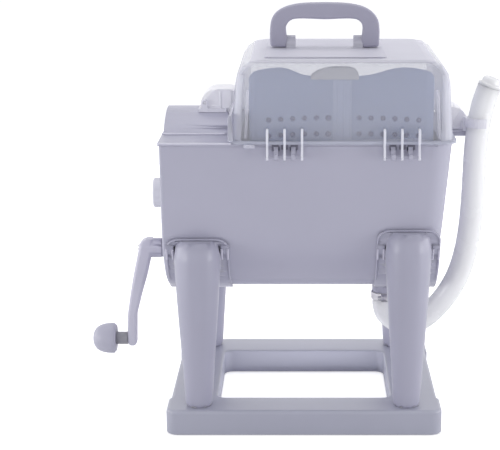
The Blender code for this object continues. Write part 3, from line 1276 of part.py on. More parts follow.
def build_basket_grip():
    """A grip over the dip of the basket's front rim, slotted to sit on the wall."""
    rim = BASKET_FRONT_RISE - BASKET_DIP_DEPTH
    outline = [(-GRIP_HALF_WIDTH, -GRIP_OVERLAP), (GRIP_HALF_WIDTH, -GRIP_OVERLAP)]
    outline += [(x * GRIP_HALF_WIDTH, z * GRIP_HEIGHT) for x, z in GRIP_SHARES]
    grip = piece("basket_grip", flat_mesh("basket_grip", [outline], GRIP_THICKNESS), "grip")
    middle = -BASKET_RADIUS + BASKET_WALL / 2
    put(grip, (GRIP_X, middle, AXIS_HEIGHT + rim), UPRIGHT_FRONT)
    height = GRIP_OVERLAP + GAP + OVERRUN
    slot = guide("grip_slot", box_mesh("grip_slot", (3 * GRIP_HALF_WIDTH, BASKET_WALL + 2 * GAP, height)))
    put(slot, (GRIP_X, middle, AXIS_HEIGHT + rim + GAP - height / 2))
    boolean(grip, slot, "DIFFERENCE")


def lid_rings():
    """Rings of the lid's outer surface, from the flange's edge to the edge of its flat top."""
    bottom = RIM_HEIGHT + GAP
    flange = bottom + LID_FLANGE_HEIGHT
    shoulder = LID_TOP - LID_SIDE_ROUND
    levels = [(bottom, 0.0, 0.0), (flange, 0.0, 0.0), (flange, LID_FLANGE_WIDTH, LID_FLANGE_WIDTH)]
    steps = 4
    for i in range(steps + 1):
        angle = math.radians(90.0 * i / steps)
        base = LID_FLANGE_WIDTH + LID_DRAFT
        levels.append((shoulder + LID_SIDE_ROUND * math.sin(angle),
                       base + LID_SIDE_ROUND * (1 - math.cos(angle)),
                       base + LID_FRONT_ROUND * (1 - math.cos(angle))))
    rings = []
    for height, inset_x, inset_y in levels:
        half_x = LID_HALF_WIDTH - inset_x
        half_y = LID_HALF_DEPTH - inset_y
        corner = LID_CORNER_RADIUS - min(inset_x, inset_y) / 2
        outline = rounded_rectangle(LID_CENTRE_X - half_x, LID_CENTRE_X + half_x, -half_y, half_y,
                                    corner, LID_CORNER_STEPS)
        rings.append([(x, y, height) for x, y in outline])
    return rings


def build_lid():
    """The domed lid with its hinge ribs."""
    middle = (LID_CENTRE_X, 0.0, RIM_HEIGHT)
    mesh = loft_mesh("lid", lid_rings(), True, False, True, middle)
    mesh.transform(Matrix.Translation(-AXES["lid_axis"][1]))
    lid = put(piece("lid", mesh, "lid"), AXES["lid_axis"][1], FLAT, "lid_axis")
    thicken(lid, LID_WALL)
    boolean(lid, hinge_ribs(), "UNION")
    bores = guide("rib_bores", rod_mesh("rib_bores", HINGE_PIN_RADIUS,
                                        TUB_RIGHT - TUB_LEFT, sides=12, clearance=RUNNING))
    boolean(lid, put(bores, (0.0, HINGE_Y, HINGE_Z), ALONG_X), "DIFFERENCE")


def hinge_ribs():
    """Six thin ribs down the lid's front, each ending in an eye for a hinge pin."""
    wall = -(LID_HALF_DEPTH - LID_FLANGE_WIDTH - LID_DRAFT - LID_WALL / 2)
    root = -(LID_HALF_DEPTH - LID_FLANGE_WIDTH - LID_WALL / 2)
    front = -LID_HALF_DEPTH
    flange = RIM_HEIGHT + GAP
    top = RIM_HEIGHT + HINGE_RIB_TOP
    outline = [(root, flange + LID_WALL), (wall, top), (front + LID_FLANGE_WIDTH / 2, top),
               (front - HINGE_PIN_RADIUS, flange + LID_FLANGE_HEIGHT)]
    outline += arc((HINGE_Y, HINGE_Z), HINGE_EYE_RADIUS, 160, 360, 10)
    outline += [(HINGE_Y + HINGE_EYE_RADIUS, flange + LID_WALL / 2)]
    one = flat_mesh("hinge_rib", [outline], HINGE_RIB_THICKNESS)
    bm = bmesh.new()
    for x in rib_places():
        start = len(bm.verts)
        bm.from_mesh(one)
        bm.verts.ensure_lookup_table()
        bmesh.ops.translate(bm, verts=bm.verts[start:], vec=(0.0, 0.0, x))
    return put(guide("hinge_ribs", mesh_from("hinge_ribs", bm)), (0.0, 0.0, 0.0), UPRIGHT_SIDE)


def build_hinge_pins():
    """The two pins that the lid's ribs turn on."""
    length = 2 * HINGE_RIB_PITCH + HINGE_RIB_THICKNESS + 2 * HINGE_PIN_OVERHANG
    for name, x in (("lid_hinge_pin_left", HINGE_LEFT_X), ("lid_hinge_pin_right", HINGE_RIGHT_X)):
        pin = piece(name, rod_mesh(name, HINGE_PIN_RADIUS, length, sides=12), "steel")
        put(pin, (x, HINGE_Y, HINGE_Z), ALONG_X)


def handle_outline():
    """The handle's outline in X and Z about the middle of its pivots."""
    half = HANDLE_HALF_WIDTH
    inner = half - HANDLE_ARM_WIDTH
    low = -HANDLE_FOOT
    high = HANDLE_RISE
    under = HANDLE_RISE - HANDLE_GRIP_HEIGHT
    outer_radius = HANDLE_OUTER_RADIUS
    inner_radius = HANDLE_INNER_RADIUS
    side = high - HANDLE_CROWN - outer_radius
    outline = [(half, low), (half, side)]
    outline += arc((half - outer_radius, side), outer_radius, 0, 90, 6)[1:]
    outline += [(0.0, high)]
    outline += arc((outer_radius - half, side), outer_radius, 90, 180, 6)[:-1]
    outline += [(-half, side), (-half, low), (-inner, low), (-inner, under - inner_radius)]
    outline += arc((inner_radius - inner, under - inner_radius), inner_radius, 180, 90, 4)[1:]
    outline += [(0.0, under - HANDLE_BELLY)]
    outline += arc((inner - inner_radius, under - inner_radius), inner_radius, 90, 0, 4)[:-1]
    return outline + [(inner, under - inner_radius), (inner, low)]


def build_handle():
    """The folding handle with its socket plate and pins."""
    mesh = flat_mesh("lid_handle", [handle_outline()], HANDLE_DEPTH)
    handle = put(piece("lid_handle", mesh, "handle"), (HANDLE_CENTRE_X, 0.0, HANDLE_Z), UPRIGHT_FRONT,
                 "handle_axis")
    bevel(handle, HANDLE_EDGE_RADIUS, 3)
    depth = 2 * HANDLE_HALF_WIDTH - HANDLE_ARM_WIDTH
    bores = guide("handle_bores", rod_mesh("handle_bores", HANDLE_PIN_RADIUS, depth,
                                           sides=16, clearance=RUNNING))
    boolean(handle, put(bores, (HANDLE_CENTRE_X, 0.0, HANDLE_Z), ALONG_X), "DIFFERENCE")
    build_handle_socket()
    inner = HANDLE_HALF_WIDTH - HANDLE_ARM_WIDTH
    offset = inner - HANDLE_SIDE_GAP - EAR_WIDTH / 2 + HANDLE_ARM_WIDTH / 4
    length = EAR_WIDTH + HANDLE_ARM_WIDTH / 2
    for name, hand in (("handle_pin_left", -1), ("handle_pin_right", 1)):
        pin = piece(name, rod_mesh(name, HANDLE_PIN_RADIUS, length, sides=16), "steel")
        put(pin, (HANDLE_CENTRE_X + hand * offset, 0.0, HANDLE_Z), ALONG_X, "lid_axis")


def build_handle_socket():
    """The plate on the lid's top with an ear inside each of the handle's arms."""
    outline = rounded_rectangle(-SOCKET_WIDTH / 2, SOCKET_WIDTH / 2, -SOCKET_DEPTH / 2, SOCKET_DEPTH / 2,
                                SOCKET_RADIUS)
    plate = piece("handle_socket", flat_mesh("handle_socket", [outline], SOCKET_THICKNESS), "lid")
    put(plate, (HANDLE_CENTRE_X, 0.0, LID_TOP + GAP + SOCKET_THICKNESS / 2), FLAT, "lid_axis")
    low = LID_TOP + GAP + SOCKET_THICKNESS / 2 - HANDLE_Z
    outline = [(-EAR_LENGTH / 2, low), (EAR_LENGTH / 2, low)]
    outline += arc((0.0, EAR_HEIGHT + low - EAR_RADIUS), EAR_RADIUS, 25, 155, 6)
    one = flat_mesh("handle_ear", [outline], EAR_WIDTH)
    offset = HANDLE_HALF_WIDTH - HANDLE_ARM_WIDTH - HANDLE_SIDE_GAP - EAR_WIDTH / 2
    bm = bmesh.new()
    for hand in (-1, 1):
        start = len(bm.verts)
        bm.from_mesh(one)
        bm.verts.ensure_lookup_table()
        bmesh.ops.translate(bm, verts=bm.verts[start:], vec=(0.0, 0.0, hand * offset))
    ears = guide("handle_ears", mesh_from("handle_ears", bm))
    put(ears, (HANDLE_CENTRE_X, 0.0, HANDLE_Z), UPRIGHT_SIDE)
    boolean(plate, ears, "UNION")
    bores = guide("ear_bores", rod_mesh("ear_bores", HANDLE_PIN_RADIUS, 2 * HANDLE_HALF_WIDTH,
                                        sides=16, clearance=GAP))
    boolean(plate, put(bores, (HANDLE_CENTRE_X, 0.0, HANDLE_Z), ALONG_X), "DIFFERENCE")


def lock_outline(reach, rise, radius, wall):
    """A lock's section about its pivot, its outer foot at -X, or the hollow that leaves a wall."""
    foot = -LOCK_PIVOT_INSET + wall
    low = -LOCK_PIVOT_RISE
    high = rise - wall
    bend = radius - wall
    tip = reach - LOCK_PIVOT_INSET
    corner = (foot + bend, high - bend)
    if wall == 0.0:
        return ([(tip, low), (tip, high)] + arc(corner, bend, 90, 180, 6) + [(foot, low)])
    return ([(tip + OVERRUN, low - OVERRUN), (tip + OVERRUN, rise - LOCK_LIP),
             (tip - wall, rise - LOCK_LIP), (tip - wall, high)]
            + arc(corner, bend, 90, 180, 6) + [(foot, low - OVERRUN)])


def build_lock(name, outer, inner, top, base, radius, axis, hand):
    """One lid lock lever, hollow, open below and towards the lid; hand is -1 on the left."""
    reach = abs(outer - inner)
    rise = top - base - LOCK_PIVOT_RISE
    mesh = flat_mesh(name, [mirrored(lock_outline(reach, rise, radius, 0.0), hand)], 2 * LOCK_HALF_WIDTH)
    pivot = AXES[axis][1]
    lever = put(piece(name, mesh, "lid"), pivot, UPRIGHT_FRONT, axis)
    hollow = guide(name + "_hollow", flat_mesh(name + "_hollow",
                                               [mirrored(lock_outline(reach, rise, radius, LOCK_WALL), hand)],
                                               2 * (LOCK_HALF_WIDTH - LOCK_WALL)))
    boolean(lever, put(hollow, pivot, UPRIGHT_FRONT), "DIFFERENCE")
    bore = guide(name + "_bore", rod_mesh(name + "_bore", LOCK_PIN_RADIUS,
                                          2 * LOCK_HALF_WIDTH + 2 * OVERRUN, sides=12, clearance=RUNNING))
    boolean(lever, put(bore, pivot, ALONG_Y), "DIFFERENCE")


def mirrored(outline, hand):
    """An outline as drawn for the left, or its mirror image for the right."""
    return outline if hand < 0 else [(-x, y) for x, y in reversed(outline)]


def lock_pivot(outer, base, hand):
    """Place of a lock's pivot, inside its outer foot."""
    return (outer - hand * LOCK_PIVOT_INSET, 0.0, AXIS_HEIGHT + base + LOCK_PIVOT_RISE)


def build_locks():
    """Both lid locks with their seats and pins."""
    build_lock("left_lock", LOCK_LEFT_OUTER, LOCK_LEFT_INNER, LOCK_LEFT_TOP, LOCK_LEFT_BASE,
               LOCK_LEFT_RADIUS, "left_lock_axis", -1)
    build_lock("right_lock", LOCK_RIGHT_OUTER, LOCK_RIGHT_INNER, LOCK_RIGHT_TOP, LOCK_RIGHT_BASE,
               LOCK_RIGHT_RADIUS, "right_lock_axis", 1)
    build_left_seat()
    build_right_seat()
    for side in ("left", "right"):
        name = side + "_lock_pin"
        pin = piece(name, rod_mesh(name, LOCK_PIN_RADIUS, 2 * SEAT_HALF_WIDTH, sides=12), "steel")
        put(pin, AXES[side + "_lock_axis"][1], ALONG_Y)


def build_seat(name, left, right, bottom, top, pivot):
    """A seat plate with an ear at each end of a lock, which its pin goes through."""
    size = (right - left, 2 * SEAT_HALF_WIDTH, top - bottom)
    seat = put(piece(name, box_mesh(name, size), "lid"), ((left + right) / 2, 0.0, (top + bottom) / 2))
    radius = LOCK_EAR_RADIUS
    foot = top - pivot.z - (top - bottom) / 2
    outline = [(-radius, foot), (radius, foot)] + arc((0.0, 0.0), radius, 0, 180, 8)
    for side, hand in (("_front_ear", -1), ("_rear_ear", 1)):
        ear = guide(name + side, flat_mesh(name + side, [outline], LOCK_EAR_WIDTH))
        offset = hand * (SEAT_HALF_WIDTH - LOCK_EAR_WIDTH / 2)
        boolean(seat, put(ear, (pivot.x, offset, pivot.z), UPRIGHT_FRONT), "UNION")
    bore = guide(name + "_bore", rod_mesh(name + "_bore", LOCK_PIN_RADIUS, 2 * SEAT_HALF_WIDTH
                                          + 2 * OVERRUN, sides=12, clearance=GAP))
    boolean(seat, put(bore, pivot, ALONG_Y), "DIFFERENCE")
    return seat


def build_left_seat():
    """The left lock's seat, cut to sit on the arch."""
    pivot = AXES["left_lock_axis"][1]
    top = pivot.z - LOCK_PIVOT_RISE - LOCK_SEAT_CLEARANCE
    drop = ARCH_RADIUS - math.sqrt(ARCH_RADIUS ** 2 - SEAT_HALF_WIDTH ** 2)
    bottom = AXIS_HEIGHT + ARCH_RADIUS - drop - GAP
    seat = build_seat("left_lock_seat", LOCK_LEFT_OUTER - SEAT_REACH, ARCH_RIGHT - SEAT_REACH, bottom,
                      top, pivot)
    room = guide("arch_room", rod_mesh("arch_room", ARCH_RADIUS, ARCH_RIGHT - ARCH_LEFT,
                                       sides=96, clearance=GAP))
    boolean(seat, put(room, ((ARCH_LEFT + ARCH_RIGHT) / 2, 0.0, AXIS_HEIGHT), ALONG_X), "DIFFERENCE")


def build_right_seat():
    """The right lock's seat, flat on the shelf."""
    pivot = AXES["right_lock_axis"][1]
    top = pivot.z - LOCK_PIVOT_RISE - LOCK_SEAT_CLEARANCE
    build_seat("right_lock_seat", LOCK_RIGHT_INNER + SEAT_REACH, TUB_RIGHT + SHELF_REACH - GAP,
               RIM_HEIGHT + GAP, top, pivot)


def build_drain():
    """The drain's spout, strainer, cuff and clamp."""
    top = AXIS_HEIGHT - math.sqrt(TROUGH_RADIUS ** 2 - (abs(DRAIN_Y) + SPOUT_SADDLE_RADIUS) ** 2)
    low = AXIS_HEIGHT - TROUGH_RADIUS - SPOUT_SADDLE_DEPTH
    profile = [(SPOUT_BORE, top), (SPOUT_SADDLE_RADIUS, top), (SPOUT_SADDLE_RADIUS, low),
               (SPOUT_RADIUS, low), (SPOUT_RADIUS, SPOUT_END), (SPOUT_BORE, SPOUT_END)]
    spout = piece("drain_spout", turned_mesh("drain_spout", profile, 28), "body")
    put(spout, (DRAIN_X, DRAIN_Y, 0.0))
    room = guide("spout_room", rod_mesh("spout_room", TROUGH_RADIUS, 4 * SPOUT_SADDLE_RADIUS,
                                        sides=96, clearance=GAP))
    boolean(spout, put(room, (DRAIN_X, 0.0, AXIS_HEIGHT), ALONG_X), "DIFFERENCE")
    notch = guide("spout_notch", rod_mesh("spout_notch", SPOUT_SADDLE_RADIUS, TROUGH_RADIUS, sides=28,
                                          clearance=RUNNING))
    put(notch, (DRAIN_X, DRAIN_Y, AXIS_HEIGHT - TROUGH_RADIUS))
    boolean(bpy.data.objects["leg_front_right"], notch, "DIFFERENCE")
    cuff_top = low - GAP
    length = cuff_top - SPOUT_END
    cuff = piece("hose_cuff", turned_mesh("hose_cuff", ring_profile(CUFF_RADIUS, SPOUT_RADIUS + GAP, length),
                                          28), "hose")
    put(cuff, (DRAIN_X, DRAIN_Y, SPOUT_END + length / 2))
    build_clamp(cuff_top)
    build_strainer()


def build_clamp(cuff_top):
    """The clamp band round the cuff, its block and its screw."""
    inner = CUFF_RADIUS + GAP
    outer = inner + CLAMP_WALL
    middle = cuff_top - CLAMP_TOP_GAP - CLAMP_HEIGHT / 2
    profile = ring_profile(outer, inner, CLAMP_HEIGHT)
    band = piece("hose_clamp", turned_mesh("hose_clamp", profile, 28), "steel")
    put(band, (DRAIN_X, DRAIN_Y, middle))
    reach = CLAMP_EAR_THICKNESS + CLAMP_WALL / 2
    block = guide("clamp_block", box_mesh("clamp_block", (CLAMP_EAR_LENGTH, reach, CLAMP_EAR_HEIGHT)))
    centre = DRAIN_Y - outer + CLAMP_WALL / 2 - reach / 2 + CLAMP_WALL / 4
    boolean(band, put(block, (DRAIN_X, centre, middle)), "UNION")
    bore = guide("clamp_bore", rod_mesh("clamp_bore", CLAMP_SCREW_RADIUS / 2,
                                        CLAMP_EAR_LENGTH + 2 * OVERRUN, sides=12, clearance=GAP))
    offset = DRAIN_Y - outer - CLAMP_EAR_THICKNESS / 2
    boolean(band, put(bore, (DRAIN_X, offset, middle), ALONG_X), "DIFFERENCE")
    left = -CLAMP_EAR_LENGTH / 2 - GAP
    right = CLAMP_EAR_LENGTH / 2
    shank = CLAMP_SCREW_RADIUS / 2
    profile = [(0.0, right), (shank, right), (shank, left), (CLAMP_SCREW_RADIUS, left),
               (CLAMP_SCREW_RADIUS, left - CLAMP_SCREW_HEAD), (0.0, left - CLAMP_SCREW_HEAD)]
    screw = piece("clamp_screw", turned_mesh("clamp_screw", profile, 12), "steel")
    put(screw, (DRAIN_X, offset, middle), ALONG_X)


def build_strainer():
    """A perforated disc that lies on the tub's floor over the drain."""
    outer = TROUGH_FLAT - TUB_WALL - GAP
    inner = outer - STRAINER_THICKNESS
    half = 2 * STRAINER_RADIUS
    spread = math.degrees(math.asin((abs(DRAIN_Y) + half) / outer))
    outline = arc((0.0, 0.0), outer, -90 - spread, -90 + spread, 24)
    outline += arc((0.0, 0.0), inner, -90 + spread, -90 - spread, 24)
    sheet = flat_mesh("drain_strainer", [outline], 2 * STRAINER_RADIUS + 2 * OVERRUN)
    strainer = put(piece("drain_strainer", sheet, "white"), (DRAIN_X, 0.0, AXIS_HEIGHT), UPRIGHT_SIDE)
    disc = guide("strainer_edge", rod_mesh("strainer_edge", STRAINER_RADIUS, TROUGH_RADIUS, sides=24))
    place = (DRAIN_X, DRAIN_Y, AXIS_HEIGHT - TROUGH_RADIUS)
    boolean(strainer, put(disc, place), "INTERSECT")
    places = [(STRAINER_HOLE_CIRCLE * math.cos(2 * math.pi * i / STRAINER_HOLES),
               STRAINER_HOLE_CIRCLE * math.sin(2 * math.pi * i / STRAINER_HOLES), 0.0)
              for i in range(STRAINER_HOLES)]
    holes = guide("strainer_holes", rod_mesh("strainer_holes", STRAINER_HOLE_RADIUS, TROUGH_RADIUS,
                                             places, 8))
    boolean(strainer, put(holes, place), "DIFFERENCE")


def smooth_route(points, steps):
    """Points along a smooth curve through the given points."""
    path = [Vector(point) for point in points]
    extended = [2 * path[0] - path[1]] + path + [2 * path[-1] - path[-2]]
    made = []
    for i in range(1, len(extended) - 2):
        before, start, end, after = extended[i - 1:i + 3]
        for step in range(steps):
            t = step / steps
            made.append(0.5 * ((2 * start) + (end - before) * t
                               + (2 * before - 5 * start + 4 * end - after) * t ** 2
                               + (3 * start - before - 3 * end + after) * t ** 3))
    return made + [path[-1]]


def hose_points():
    """The hose's middle line, whose route is measured upwards from the trough's axis."""
    lift = Vector((0.0, 0.0, AXIS_HEIGHT))
    return [point + lift for point in smooth_route(HOSE_ROUTE, HOSE_STEPS)]


def route_at(height):
    """Place of the hose's middle where it rises past a height, or straight on from its end."""
    points = hose_points()
    for low, high in zip(points, points[1:]):
        if low.z <= height < high.z:
            return low.lerp(high, (height - low.z) / (high.z - low.z))
    return points[-2].lerp(points[-1], (height - points[-2].z) / (points[-1].z - points[-2].z))


def machine_middle():
    """Place along X of the middle of the outer box, from the knob's end to the hose clip's."""
    clip_reach = HOSE_CLIP_RADIUS * math.cos(math.radians(HOSE_CLIP_OPEN / 2))
    return (KNOB_LEFT + route_at(RIM_HEIGHT + HOSE_CLIP_RISE).x + clip_reach) / 2


def build_hose():
    """The drain hose along its route, its end fitting and the clip that holds it up."""
    curve = bpy.data.curves.new("drain_hose", "CURVE")
    curve.dimensions = "3D"
    curve.bevel_depth = HOSE_RADIUS
    curve.bevel_resolution = 3
    curve.use_fill_caps = True
    points = hose_points()
    spline = curve.splines.new("POLY")
    spline.points.add(len(points) - 1)
    for spot, point in zip(spline.points, points):
        spot.co = (*point, 1.0)
    hose = bpy.data.objects.new("drain_hose", curve)
    curve.materials.append(material("drain_hose", "hose"))
    MACHINE.objects.link(hose)
    put(hose)
    end = points[-1]
    along = (end - points[-2]).normalized()
    build_hose_end(end + along * GAP, along)
    build_hose_clip(points)


def build_hose_end(place, along):
    """The hose's end fitting: a collar and a short nozzle."""
    collar = FITTING_COLLAR_LENGTH
    profile = [(FITTING_BORE, FITTING_LENGTH), (FITTING_NECK_RADIUS, FITTING_LENGTH),
               (FITTING_NECK_RADIUS, collar), (FITTING_COLLAR_RADIUS, collar), (FITTING_COLLAR_RADIUS, 0.0),
               (FITTING_BORE, 0.0)]
    fitting = piece("hose_end", turned_mesh("hose_end", profile, 24), "hose")
    put(fitting, place, along.to_track_quat("Z", "Y").to_euler())


def build_hose_clip(points):
    """An open ring round the hose on a stem that stands on the deck's shelf."""
    spot = route_at(RIM_HEIGHT + HOSE_CLIP_RISE)
    half = HOSE_CLIP_OPEN / 2
    outline = arc((0.0, 0.0), HOSE_CLIP_RADIUS, half, 360 - half, 20)
    outline += arc((0.0, 0.0), HOSE_CLIP_RADIUS - HOSE_CLIP_WALL, 360 - half, half, 20)
    clip = piece("hose_clip", flat_mesh("hose_clip", [outline], HOSE_CLIP_HEIGHT), "white")
    put(clip, spot)
    bottom = RIM_HEIGHT + GAP
    height = spot.z + HOSE_CLIP_HEIGHT / 2 - bottom
    distance = HOSE_RADIUS + HOSE_CLIP_STEM_REACH
    angle = math.radians(HOSE_CLIP_STEM_ANGLE)
    stem = guide("clip_stem", box_mesh("clip_stem", (HOSE_CLIP_STEM, 2 * HOSE_CLIP_WALL, height)))
    put(stem, (spot.x + distance * math.cos(angle), spot.y + distance * math.sin(angle),
               bottom + height / 2))
    boolean(clip, stem, "UNION")
    room = hose_room(points)
    boolean(clip, room, "DIFFERENCE")
    boolean(bpy.data.objects["top_frame"], room, "DIFFERENCE")


def hose_room(points):
    """The space that the hose takes up, with its clearance."""
    room = bpy.data.curves.new("hose_room", "CURVE")
    room.dimensions = "3D"
    room.bevel_resolution = 6
    room.bevel_depth = (HOSE_RADIUS + GAP) / math.cos(math.pi / (4 + 2 * room.bevel_resolution))
    room.use_fill_caps = True
    spline = room.splines.new("POLY")
    spline.points.add(len(points) - 1)
    for mark, point in zip(spline.points, points):
        mark.co = (*point, 1.0)
    holder = bpy.data.objects.new("hose_room_path", room)
    CUTTERS.objects.link(holder)
    mesh = evaluated_mesh(holder)
    bm = bmesh.new()
    bm.from_mesh(mesh)
    bmesh.ops.remove_doubles(bm, verts=bm.verts, dist=MERGE_DISTANCE)
    bmesh.ops.recalc_face_normals(bm, faces=bm.faces)
    return put(guide("hose_room", mesh_from("hose_room", bm)))


def build_machine():
    """Builds every sub-part of the machine."""
    axis_empty("machine", (0.0, 0.0, 0.0))
    axis_empty("lid_axis", (LID_CENTRE_X, HINGE_Y, HINGE_Z))
    axis_empty("handle_axis", (HANDLE_CENTRE_X, 0.0, HANDLE_Z))
    axis_empty("crank_axis", (ARM_TOP_X, 0.0, CRANK_Z))
    axis_empty("knob_axis", (KNOB_RIGHT, 0.0, KNOB_Z))
    axis_empty("pulsator_axis", (PULSATOR_LEFT, 0.0, AXIS_HEIGHT))
    axis_empty("left_lock_axis", lock_pivot(LOCK_LEFT_OUTER, LOCK_LEFT_BASE, -1))
    axis_empty("right_lock_axis", lock_pivot(LOCK_RIGHT_OUTER, LOCK_RIGHT_BASE, 1))
    build_stand()
    build_legs()
    build_tub()
    build_top_frame()
    build_partition()
    build_bearings()
    build_crank()
    build_pulsator()
    build_basket()
    build_lid()
    build_hinge_pins()
    build_handle()
    build_locks()
    build_drain()
    build_hose()


build_machine()
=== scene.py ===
import json
import math

import bmesh
import bpy
from mathutils import Matrix, Vector, geometry
from mathutils.bvhtree import BVHTree


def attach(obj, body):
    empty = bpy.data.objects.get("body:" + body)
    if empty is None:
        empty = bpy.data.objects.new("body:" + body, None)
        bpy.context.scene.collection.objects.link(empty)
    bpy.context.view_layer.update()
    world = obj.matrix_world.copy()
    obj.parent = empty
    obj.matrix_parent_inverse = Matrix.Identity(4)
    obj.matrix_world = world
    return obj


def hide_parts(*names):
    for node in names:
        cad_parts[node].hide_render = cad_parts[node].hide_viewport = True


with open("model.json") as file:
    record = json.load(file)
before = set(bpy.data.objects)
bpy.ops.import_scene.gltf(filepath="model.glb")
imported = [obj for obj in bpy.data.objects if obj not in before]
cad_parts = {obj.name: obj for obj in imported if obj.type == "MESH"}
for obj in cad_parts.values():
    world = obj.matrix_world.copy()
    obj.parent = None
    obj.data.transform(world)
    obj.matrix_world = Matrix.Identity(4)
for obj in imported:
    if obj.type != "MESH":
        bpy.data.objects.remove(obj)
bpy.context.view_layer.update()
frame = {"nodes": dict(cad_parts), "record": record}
NODES = frame["nodes"]
SCENE = bpy.context.scene

# The part's own record: each node's body and material slot
BODY_OF = {name: body for body, names in frame["record"]["behaviour"]["bodies"].items() for name in names}
SLOT_OF = {part["node"]: part["material_slot"] for part in frame["record"]["subparts"]}

# Places in this file are the machine's own, in metres: X from the middle of the stand, Y from its middle
# plane, Z from the floor. The frame's X is larger by this much.
SHIFT_X = 0.0270676

# Camera
CAMERA_DISTANCE = 1.911
CAMERA_HEIGHT = 0.694
CAMERA_PITCH = math.radians(13.4)
CAMERA_LENS = 106.4
CAMERA_SENSOR = 36.0
CAMERA_SHIFT_X = -0.108
CAMERA_REACH = 50.0

# Background and floor
WORLD_COLOUR = (0.93, 0.94, 1.0, 1.0)
WORLD_LIGHT = 0.50
WHITE = (1.0, 1.0, 1.0, 1.0)
BLACK = (0.0, 0.0, 0.0, 1.0)
FLOOR_SIZE = 14.0
FLOOR_DROP = 0.0004
FLOOR_GLOW = 0.62
FLOOR_SHADES = (0.90, 0.93)
FLOOR_NOISE_SCALE = 30.0
FLOOR_NOISE_DETAIL = 3.0

# Lamps: name, place, target, size, power, and whether gloss shows them
LAMPS = (
    ("top_light", (0.1, 0.25, 2.2), (0.0, 0.0, 0.2), (1.8, 1.8), 13.5, True),
    ("front_light", (0.0, -2.4, 0.35), (0.0, 0.0, 0.2), (2.4, 0.7), 2.8, True),
    ("right_light", (1.9, 0.35, 0.5), (0.0, 0.0, 0.2), (1.0, 1.0), 6.0, True),
    ("left_light", (-1.9, 0.35, 0.5), (0.0, 0.0, 0.2), (1.0, 1.0), 6.5, True),
    ("right_front_light", (1.9, -0.9, 0.35), (0.0, 0.0, 0.15), (0.8, 0.7), 9.5, True),
    ("left_front_light", (-1.9, -0.9, 0.35), (0.0, 0.0, 0.15), (0.8, 0.7), 9.0, True),
    ("back_light", (0.0, 2.0, 0.8), (0.0, 0.0, 0.1), (2.0, 0.8), 11.0, False),
    ("floor_bounce", (0.0, 0.0, 0.004), (0.0, 0.0, 1.0), (0.34, 0.16), 0.20, False),
)

# Moulded plastic: drift of shade, uneven gloss, slow waves and a fine grain
DRIFT_SCALE = 9.0
DRIFT_DETAIL = 4.0
DRIFT_ROUGHNESS = 0.55
CLOUD_SCALE = 38.0
CLOUD_DETAIL = 5.0
GLOSS_BELOW = 0.05
GLOSS_ABOVE = 0.06
GRAIN_SCALE = 900.0
GRAIN_DETAIL = 2.0
GRAIN_DEPTH = 0.0003
WAVE_SCALE = 14.0
WAVE_DETAIL = 2.0
WAVE_STRENGTH = 0.10
WAVE_DEPTH = 0.0012
COAT_ROUGHNESS = 0.32
SHEEN_ROUGHNESS = 0.35
MILK_DEPTH = 0.012
MILK_SPREAD = (1.0, 1.0, 1.0)

# Cloudy see-through plastic
MILKY_CHANGE = 0.012
MILKY_GRAIN = 0.02
HAZE_SCALE = 13.0
HAZE_DETAIL = 3.0
HAZE_CHANGE = 0.03
EDGE_BLEND = 0.25

# Steel
STEEL_CHANGE = 0.10
STEEL_DRIFT_SCALE = 120.0
TURNING_SCALE = 420.0
TURNING_DISTORTION = 1.5
TURNING_DETAIL = 2.0
TURNING_BELOW = 0.06
TURNING_ABOVE = 0.10
TURNING_STRENGTH = 0.08
TURNING_DEPTH = 0.0001

# Sockets of a colour Mix node
MIX_SHARE = 0
MIX_FIRST = 6
MIX_SECOND = 7
MIX_RESULT = 2

# Shading of rounded mouldings, and the soft edges of small pieces
SHARP_ANGLE = math.radians(35.0)
WELD_DISTANCE = 0.000002
SOFT_EDGE = 0.0008
SOFT_SEGMENTS = 3
SMOOTH_NODES = (
    "tub", "top_frame", "base_frame", "leg_front_left", "leg_front_right", "leg_rear_left", "leg_rear_right",
    "basket_grip", "drain_spout", "hose_cuff", "hose_clamp", "hose_clip", "boss_cap",
    "crank_arm", "crank_bush", "crank_screw", "crank_knob", "knob_spindle", "handle_socket",
    "left_lock", "right_lock",
)

# Nodes that look unlike the rest of their material slot
OWN_FINISH = {
    "handle_pin_left": "lid_trim", "handle_pin_right": "lid_trim", "handle_socket": "socket",
    "hose_clamp": "clamp", "hose_clip": "lid_trim", "knob_spindle": "collar", "boss_cap": "boss",
    "lid_hinge_pin_left": "housing", "lid_hinge_pin_right": "housing",
    "left_lock": "lock", "right_lock": "lock", "left_lock_pin": "lock", "right_lock_pin": "lock",
    "left_lock_seat": "lid_trim",
}

# Bands of the lid, and the materials that they have
LID_RIB_FRONT = -0.1400
LID_RIM_BOTTOM = 0.3717
LID_RIM_TOP = 0.3762
LID_TOP_FROM = 0.4690
LID_CENTRE_X = 0.0474
LID_SIDE_FROM = 0.1215
LID_FINISHES = ("milky_lid", "lid_top", "lid_edge", "lid_ribs", "lid_side")
LID_WALL, LID_TOP, LID_EDGE, LID_RIBS, LID_SIDE = range(len(LID_FINISHES))

# Lip along the upper edge and sides of each leg's saddle: hand, middle and top of each pair of saddles
TROUGH_AXIS = 0.283
SADDLE_RADIUS = 0.1246
SADDLE_HALF_WIDTH = 0.0400
SADDLE_CORNER = 0.0150
SADDLE_CORNER_STEPS = 8
SADDLE_SIDE_STEPS = 10
SADDLE_DEPTH = 0.0970
LIP_RADIUS = 0.0014
SADDLES = (("left", -0.134, 0.2497), ("right", 0.131, 0.2617))

# Raised sides of the clips on the saddles, in a lighter material as a painted highlight, and dark rods as
# painted shade in the slots beside them
CLIP_OFFSET = 0.0345
CLIP_SIDE = 0.0037
CLIP_TOP = 0.2362
CLIP_BOTTOM = 0.2212
CLIP_STEPS = 4
CLIP_SIDE_RADIUS = 0.0016
CLIP_RADIUS = 0.1272
SLOT_OFFSET = 0.0252
SLOT_RADIUS = 0.0010

